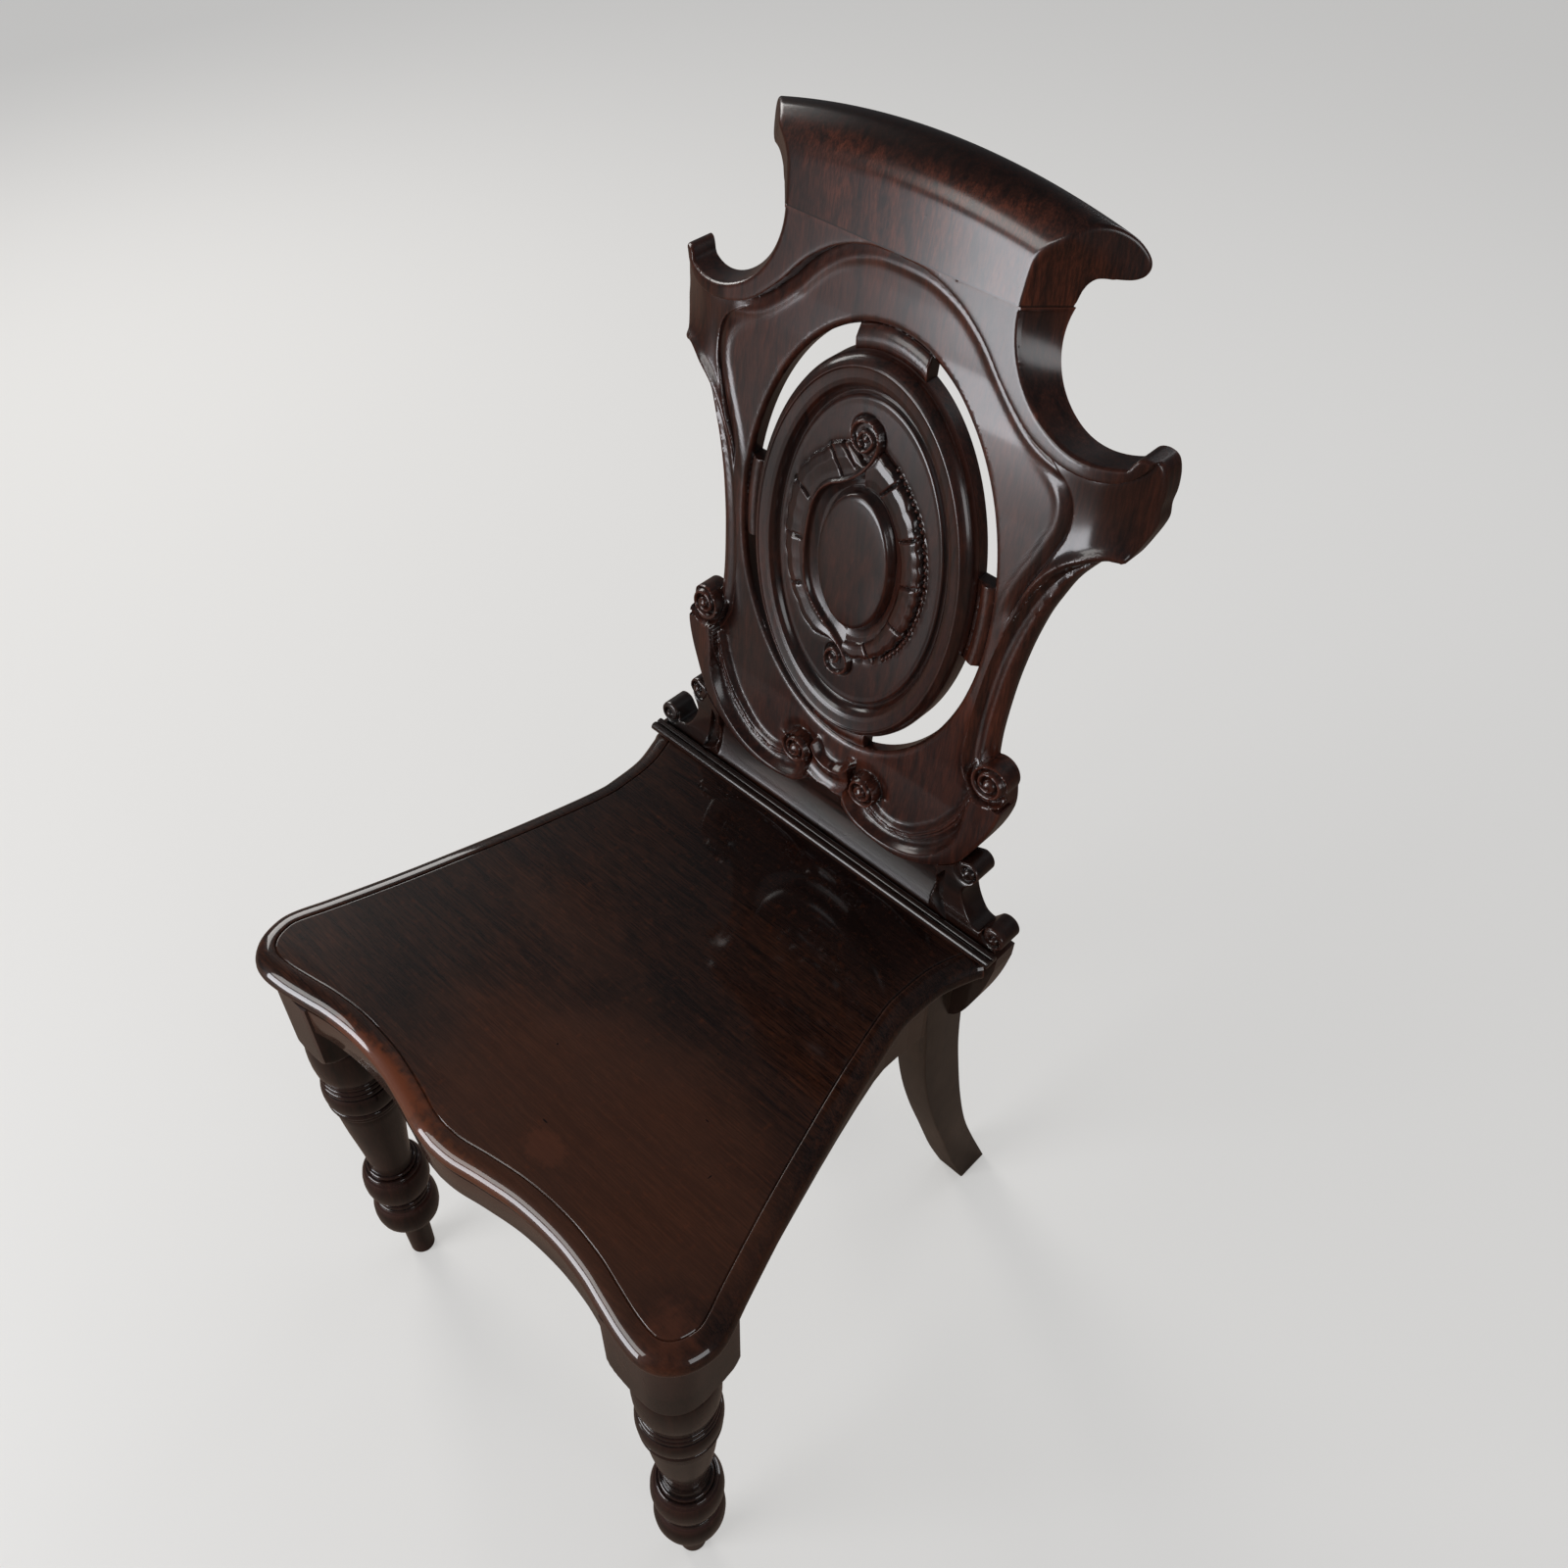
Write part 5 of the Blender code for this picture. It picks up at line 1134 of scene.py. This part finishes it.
# Medallion. An oval boss turned and carved from one block, glued on the disc that the
# four bridges hold: a ridged rim, a sunk groove, a flat ground, and a cartouche of leaf
# and scroll round a polished cabochon. Places on it are from its middle, in millimetres.
BOSS_HALVES = (OVAL[1] - SLOT_WIDTH, OVAL[2] - SLOT_WIDTH)
BOSS_SEAT = 11.7
BOSS_RINGS = ((0.0, 0.0), (0.333, 0.362), (0.52, 0.545), (0.745, 0.80), (0.87, 0.905), (1.0, 1.0))
BOSS_LEVELS = ((0.0, 5.9), (0.72, 5.9), (0.742, 5.7), (0.755, 6.1), (0.762, 8.0), (0.778, 8.6),
               (0.792, 7.4), (0.808, 4.6), (0.83, 2.7), (0.86, 1.9), (0.90, 1.5), (0.922, 1.2),
               (0.930, 0.5), (0.942, 0.7), (0.962, 1.9), (0.980, 3.6), (0.992, 5.4), (1.0, 8.0))
CABOCHON = (28.6, 48.0)
CABOCHON_LEVELS = ((0.0, 0.0), (0.35, 0.05), (0.6, 0.15), (0.8, 0.3), (0.93, 0.6), (0.975, 1.2),
                   (1.0, 4.6), (1.05, 7.2))
SCROLL_STEM = ((-7.0, 77.0), (-9.2, 80.6), (-7.2, 85.4), (-2.6, 86.4), (1.4, 82.2), (-1.2, 76.6),
               (-6.2, 73.6), (-11.6, 76.0), (-14.6, 82.5), (-12.8, 88.8), (-7.4, 92.6), (-0.7, 93.0),
               (3.9, 88.7), (5.8, 81.4), (3.4, 72.0), (-2.6, 62.6), (-9.0, 55.6), (-17.0, 49.4),
               (-26.1, 44.0), (-33.1, 36.5), (-37.2, 26.7), (-39.4, 14.9), (-40.4, 0.7),
               (-40.0, -13.1), (-38.2, -25.2), (-34.8, -35.1), (-29.3, -43.5), (-21.2, -50.8),
               (-12.2, -57.0), (-5.5, -62.5), (0.3, -67.5), (4.4, -73.1), (5.0, -79.0),
               (1.6, -84.8), (-4.5, -87.4), (-10.9, -85.2), (-13.2, -79.3), (-11.4, -73.2),
               (-6.9, -70.2), (-3.0, -72.5), (-2.7, -77.0), (-6.2, -79.6), (-8.8, -77.0))
LEFT_EDGE = ((-4.0, 66.0), (-12.0, 70.5), (-18.0, 73.2), (-24.4, 70.5), (-33.1, 64.2), (-41.0, 55.7),
             (-49.7, 45.5), (-54.8, 31.7), (-57.6, 18.1), (-58.8, 1.0), (-57.2, -15.0),
             (-51.4, -37.4), (-41.8, -54.4), (-30.0, -66.3), (-19.5, -66.5), (-9.0, -66.0),
             (-2.0, -66.5))
RIGHT_EDGE = ((-2.0, 66.0), (5.0, 74.5), (9.9, 75.2), (18.1, 69.9), (28.8, 59.6), (35.1, 52.0),
              (41.0, 42.8), (45.6, 30.1), (49.0, 16.1), (50.0, 2.0), (48.5, -13.4), (44.6, -29.0),
              (38.4, -43.1), (28.7, -56.0), (19.4, -64.0), (8.0, -69.0), (-2.0, -66.5))
RIGHT_INSIDE = ((-4.0, 51.0), (4.3, 51.6), (12.2, 49.7), (19.8, 43.6), (27.0, 32.5), (31.8, 21.9),
                (34.4, 10.4), (34.8, -3.2), (33.0, -16.8), (29.2, -31.5), (22.6, -45.9),
                (12.9, -55.0), (2.8, -59.6), (-4.0, -60.0))
LEAF_CUTS = (((-18.6, 52.0), (-22.5, 58.0), (-26.9, 63.9), (-31.6, 66.3)),
             ((-9.5, 61.8), (-16.4, 68.4), (-22.2, 71.5)),
             ((-42.1, 26.0), (-48.4, 31.2), (-56.1, 32.3)), ((-45.0, -4.7), (-58.6, -5.1)),
             ((-41.5, -36.8), (-50.0, -40.4)), ((12.6, 53.0), (22.8, 65.2), (25.6, 66.0)),
             ((31.2, 30.2), (43.8, 37.8), (46.7, 38.8)), ((35.6, 0.9), (48.6, 5.8), (52.8, 6.7)),
             ((30.6, -27.8), (43.4, -30.2), (48.4, -30.5)),
             ((14.8, -53.5), (20.5, -59.1), (23.0, -65.0)))
VOLUTES = ((-4.6, 82.4, 10.6), (-4.4, -78.4, 9.2))
VOLUTE_EYE = 2.6
STEM_HALF = 1.7
EYELET_GAP = 4.3
EYELET_RADIUS = 1.9
LEAF_LOBES = 13
PAD_LOBES = 16
CARTOUCHE = 0.72
BOSS_COLUMNS = 430


def round_reach(line, angle):
    """Reach of an open line from the middle, at angles clockwise from the top."""
    turns = np.unwrap(np.arctan2(line[:, 0], line[:, 1]))
    reach = np.hypot(line[:, 0], line[:, 1])
    order = np.argsort(turns)
    return np.interp(angle, turns[order], reach[order])


def boss_depth(x, y, ring):
    """Depth of the medallion's carving behind the face of the back board."""
    radius, angle = np.hypot(x, y), np.arctan2(x, y)
    depth = table(BOSS_LEVELS, ring)
    left = angle < 0
    turned_left = np.where(angle > 3.0, angle - math.tau, angle)
    turned_right = np.where(angle < -3.0, angle + math.tau, angle)
    left_edge = round_reach(left_line, turned_left)
    right_edge = round_reach(right_line, turned_right)
    stem_reach = round_reach(stem_line, turned_left)
    right_inside = round_reach(inside_line, turned_right)
    stem = np.abs(side_of(scroll_stem, x, y))
    cuts = np.min([np.abs(side_of(line, x, y)) for line in cut_lines], axis=0)
    cab = np.hypot(x / CABOCHON[0], y / CABOCHON[1])

    lobes = 1.3 * np.abs(np.sin(LEAF_LOBES * angle + 0.6))
    left_edge = left_edge + lobes - 0.8
    span = np.clip((radius - stem_reach) / (left_edge - stem_reach), 0, 1)
    leaf = np.interp(span, (0, 0.12, 0.3, 0.65, 0.9, 1.0), (2.6, 3.9, 3.9, 2.9, 3.7, 4.6))
    edge_fall = ease(radius - left_edge, -0.1, 0.7)
    outside = depth + 1.3 * fade(radius - left_edge, 1.6)
    moat = np.interp((radius - cab_reach(angle)) / np.maximum(stem_reach - cab_reach(angle), 1),
                     (0, 0.35, 0.8, 1.0), (7.4, 7.2, 5.0, 2.4))
    left_level = np.where(radius < stem_reach, moat, blend(leaf, outside, edge_fall))

    pads = 1.2 * np.abs(np.sin(PAD_LOBES * angle + 0.3))
    right_edge = right_edge + pads - 0.8
    span = np.clip((radius - right_inside) / (right_edge - right_inside), 0, 1)
    pad = np.interp(span, (0, 0.12, 0.35, 0.7, 0.92, 1.0), (4.6, 3.4, 2.6, 2.2, 2.9, 3.8))
    edge_fall = ease(radius - right_edge, -0.1, 0.7)
    outside = depth + 1.9 * ripple(np.maximum(radius - right_edge, 0), 3.2)
    hollow = np.interp(radius - cab_reach(angle), (0, 1.5, 4.0, 7.0), (7.2, 6.9, 6.0, 5.2))
    right_level = np.where(radius < right_inside, hollow, blend(pad, outside, edge_fall))
    eyelet = np.min([np.hypot(x - ex, y - ey) for ex, ey in eyelets], axis=0)
    bead = 2.3 * np.clip(1 - (eyelet / EYELET_RADIUS) ** 2, 0, 1)
    right_level = right_level - bead * (radius > right_edge + 0.2)

    carved = np.where(left, left_level, right_level)
    zone = (ring < CARTOUCHE) & (np.where(left, radius < left_edge + 6, radius < right_edge + 7))
    depth = np.where(zone & (radius > 5), carved, depth)
    in_leaf = zone & (radius > np.where(left, stem_reach, right_inside))
    depth = depth + np.where(in_leaf, 2.3 * ripple(cuts, 0.75), 0)
    for eye_x, eye_y, reach in VOLUTES:
        gap = np.hypot(x - eye_x, y - eye_y)
        depth = blend(7.2, depth, ease(gap, reach + 1.2, reach + 3.4))
        depth = np.where(gap < reach + 1.2, blend(4.4, 7.2, ease(gap, reach, reach + 1.2)), depth)
        eye = 2.0 + 1.2 * (gap / VOLUTE_EYE) ** 2
        depth = np.where(gap < VOLUTE_EYE, np.minimum(depth, eye), depth)
    rope = 1.5 + 2.9 * np.clip(stem / STEM_HALF, 0, 1) ** 2
    depth = np.where(stem < STEM_HALF, np.minimum(depth, rope), depth)
    return np.where(cab < CABOCHON_LEVELS[-1][0], table(CABOCHON_LEVELS, cab), depth)


def cab_reach(angle):
    """Reach of the cabochon's oval from the middle."""
    return 1 / np.hypot(np.sin(angle) / CABOCHON[0], np.cos(angle) / CABOCHON[1])


scroll_stem = smooth_line(SCROLL_STEM, 5)
stem_line, left_line, right_line, inside_line = (
    smooth_line(line, 4) for line in (SCROLL_STEM[15:31], LEFT_EDGE, RIGHT_EDGE, RIGHT_INSIDE))
cut_lines = [smooth_line(line, 4) for line in LEAF_CUTS]
eyelets = evenly(parallel(right_line[12:-12], 2.7), EYELET_GAP)
ring_shares = np.concatenate([np.linspace(0, 0.30, 16), np.linspace(0.31, CARTOUCHE, 74),
                              np.linspace(0.725, 1.0, 62)])


def boss_place(column, row):
    """Rings from the middle to the rim, and a last one down to the seat on the disc."""
    last = len(ring_shares) - 1
    ring = ring_shares[np.minimum(row, last)]
    angle = math.tau * column / BOSS_COLUMNS
    x = BOSS_HALVES[0] * ring * np.sin(angle)
    y = BOSS_HALVES[1] * table(BOSS_RINGS, ring) * np.cos(angle)
    depth = np.where(row > last, BOSS_SEAT, boss_depth(x, y, ring))
    return x, depth, y + OVAL[0]


bm = grid_sheet(BOSS_COLUMNS, len(ring_shares), boss_place, weld=0.02)
close_up(bm)
bend(bm)
medallion = finish_mesh("carved_medallion", bm, crease=50)
medallion_finish = mahogany("medallion_mahogany", (0.010, 0.0032, 0.002), (0.050, 0.012, 0.006),
                            grain=(90, 90, 14), streak=0.5, roughness=0.40, wear=0.5,
                            seed=23.0, coat=0.9, gloss=0.16)
medallion.data.materials.append(medallion_finish)
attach(medallion, "root")
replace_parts(medallion, "medallion")

# Plinth. A mahogany board under the shield, scooped along its front, with a bracket at
# each end whose two knobs are carved as scroll ends. Its tenons go down into the rear rail,
# and the shield stands on its hollowed top edge.
PLINTH_FOOT = 0.3
PLINTH_HALF = 161.5
PLINTH_EASING = 1.2
PLINTH_STEP = 1.1
LOW_KNOB = (157.2, 12.7, 8.8)
HIGH_KNOB = (127.5, 55.0, 8.5)
BRACKET_NOTCH = ((145.8, 11.6), (139.6, 13.4), (134.3, 19.0), (129.2, 27.8), (126.8, 35.7),
                 (128.2, 41.6), (132.9, 47.3))
SCOOP = (104, 31, 26, 5)
SCOOP_ROWS = (102.6, 103.4, 104.2, 105.0)
SCOOP_PLACES = 50
CRESCENT_ROWS = (-1.4, -0.7, -0.35, 0.35, 0.7, 1.4)
CRESCENT = ((111.4, 47.3), (104.4, 34.7), (102.9, 22.8), (106.1, 13.2), (112.6, 6.2), (120.5, 3.0))
CRESCENT_BACK = ((111.4, 47.3), (112.9, 33.2), (114.7, 20.2), (120.5, 3.0))


def plinth_depth(x, h):
    """Depth of the plinth's carving behind the board's face, in millimetres."""
    x = np.abs(x)
    half_wide, middle, half_tall, deep = SCOOP
    rise = np.clip(1 - ((h - middle) / half_tall) ** 2, 0, 1)
    depth = 0.4 + deep * rise * ease(half_wide - x, -1.0, 1.2)
    left = side_of(crescent, x, h)
    right = side_of(crescent_back, x, h)
    inside = (left > 0) & (right < 0) & (h < 47.3) & (h > 3)
    depth = np.where(inside, depth + 4.2 * np.clip(left / 3.0, 0, 1) * ease(-right, 0, 0.8), depth)
    for knob, first in ((LOW_KNOB, 150), (HIGH_KNOB, 230)):
        radius, level = scroll_level(x, h, knob, first, turns=1, hand=1, level=0.3, deep=2.6)
        near = ease(radius, knob[2] - 0.4, knob[2] + 0.5)
        ring = depth + 1.6 * fade(radius - knob[2], 1.2)
        depth = np.where(radius < knob[2] + 5, blend(level, ring, near), depth)
    return depth + rounded(PLINTH_EASING, np.abs(side_of(plinth_rim, x, h))) * (x > 122)


crescent = smooth_line(CRESCENT, 5)
crescent_back = smooth_line(CRESCENT_BACK, 5)
shield_foot = parallel(hip_rim, -PLINTH_FOOT)
shield_foot = shield_foot[shield_foot[:, 1] < HIGH_KNOB[1] + HIGH_KNOB[2] - 1]
shield_foot[-1][0] = 0
plinth_rim = np.vstack([
    [(0, PLINTH_FOOT), (PLINTH_HALF, PLINTH_FOOT)],
    circle_line(*LOW_KNOB, first=-60, last=130, steps=26), smooth_line(BRACKET_NOTCH, 6),
    circle_line(*HIGH_KNOB, first=-40, last=90, steps=18), shield_foot])
plinth_half = evenly(plinth_rim, PLINTH_STEP)
plinth_ring = np.vstack([plinth_half, (plinth_half * (-1, 1))[-2:0:-1]])
creases, rows = [], []
for line in (crescent, crescent_back):
    spaced = evenly(line, 1.0)[1:-1]
    creases += two_sided(spaced)
    for distance in CRESCENT_ROWS:
        rows += two_sided(parallel(spaced, distance))
for knob in (LOW_KNOB, HIGH_KNOB):
    close = hex_places(knob[0] - 12, knob[0] + 12, knob[1] - 12, knob[1] + 12, spacing=0.7)
    rows += two_sided(close[np.hypot(close[:, 0] - knob[0], close[:, 1] - knob[1]) < knob[2] + 3])
for distance in (0.3, 0.7, 1.2, 2.0):
    rows += two_sided(parallel(plinth_half, distance))
rows += two_sided(np.column_stack([np.repeat(SCOOP_ROWS, SCOOP_PLACES),
                                   np.tile(np.linspace(5, 57, SCOOP_PLACES), len(SCOOP_ROWS))]))
net = carved_face(plinth_ring, [], creases, rows, hex_places(-166, 166, 0, 66, spacing=2.2))
bm = carved_board(net, plinth_depth, rear=BOARD, rear_levels=range(15, 60, 15), rear_spread=())
bend(bm)
plinth = finish_mesh("scooped_plinth", bm, crease=42)
plinth_finish = mahogany("plinth_mahogany", (0.007, 0.003, 0.002), (0.030, 0.009, 0.005),
                         grain=(9, 40, 40), streak=0.4, roughness=0.26, wear=0.5, seed=27.0)
plinth.data.materials.append(plinth_finish)
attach(plinth, "root")
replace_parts(plinth, "back_plinth")
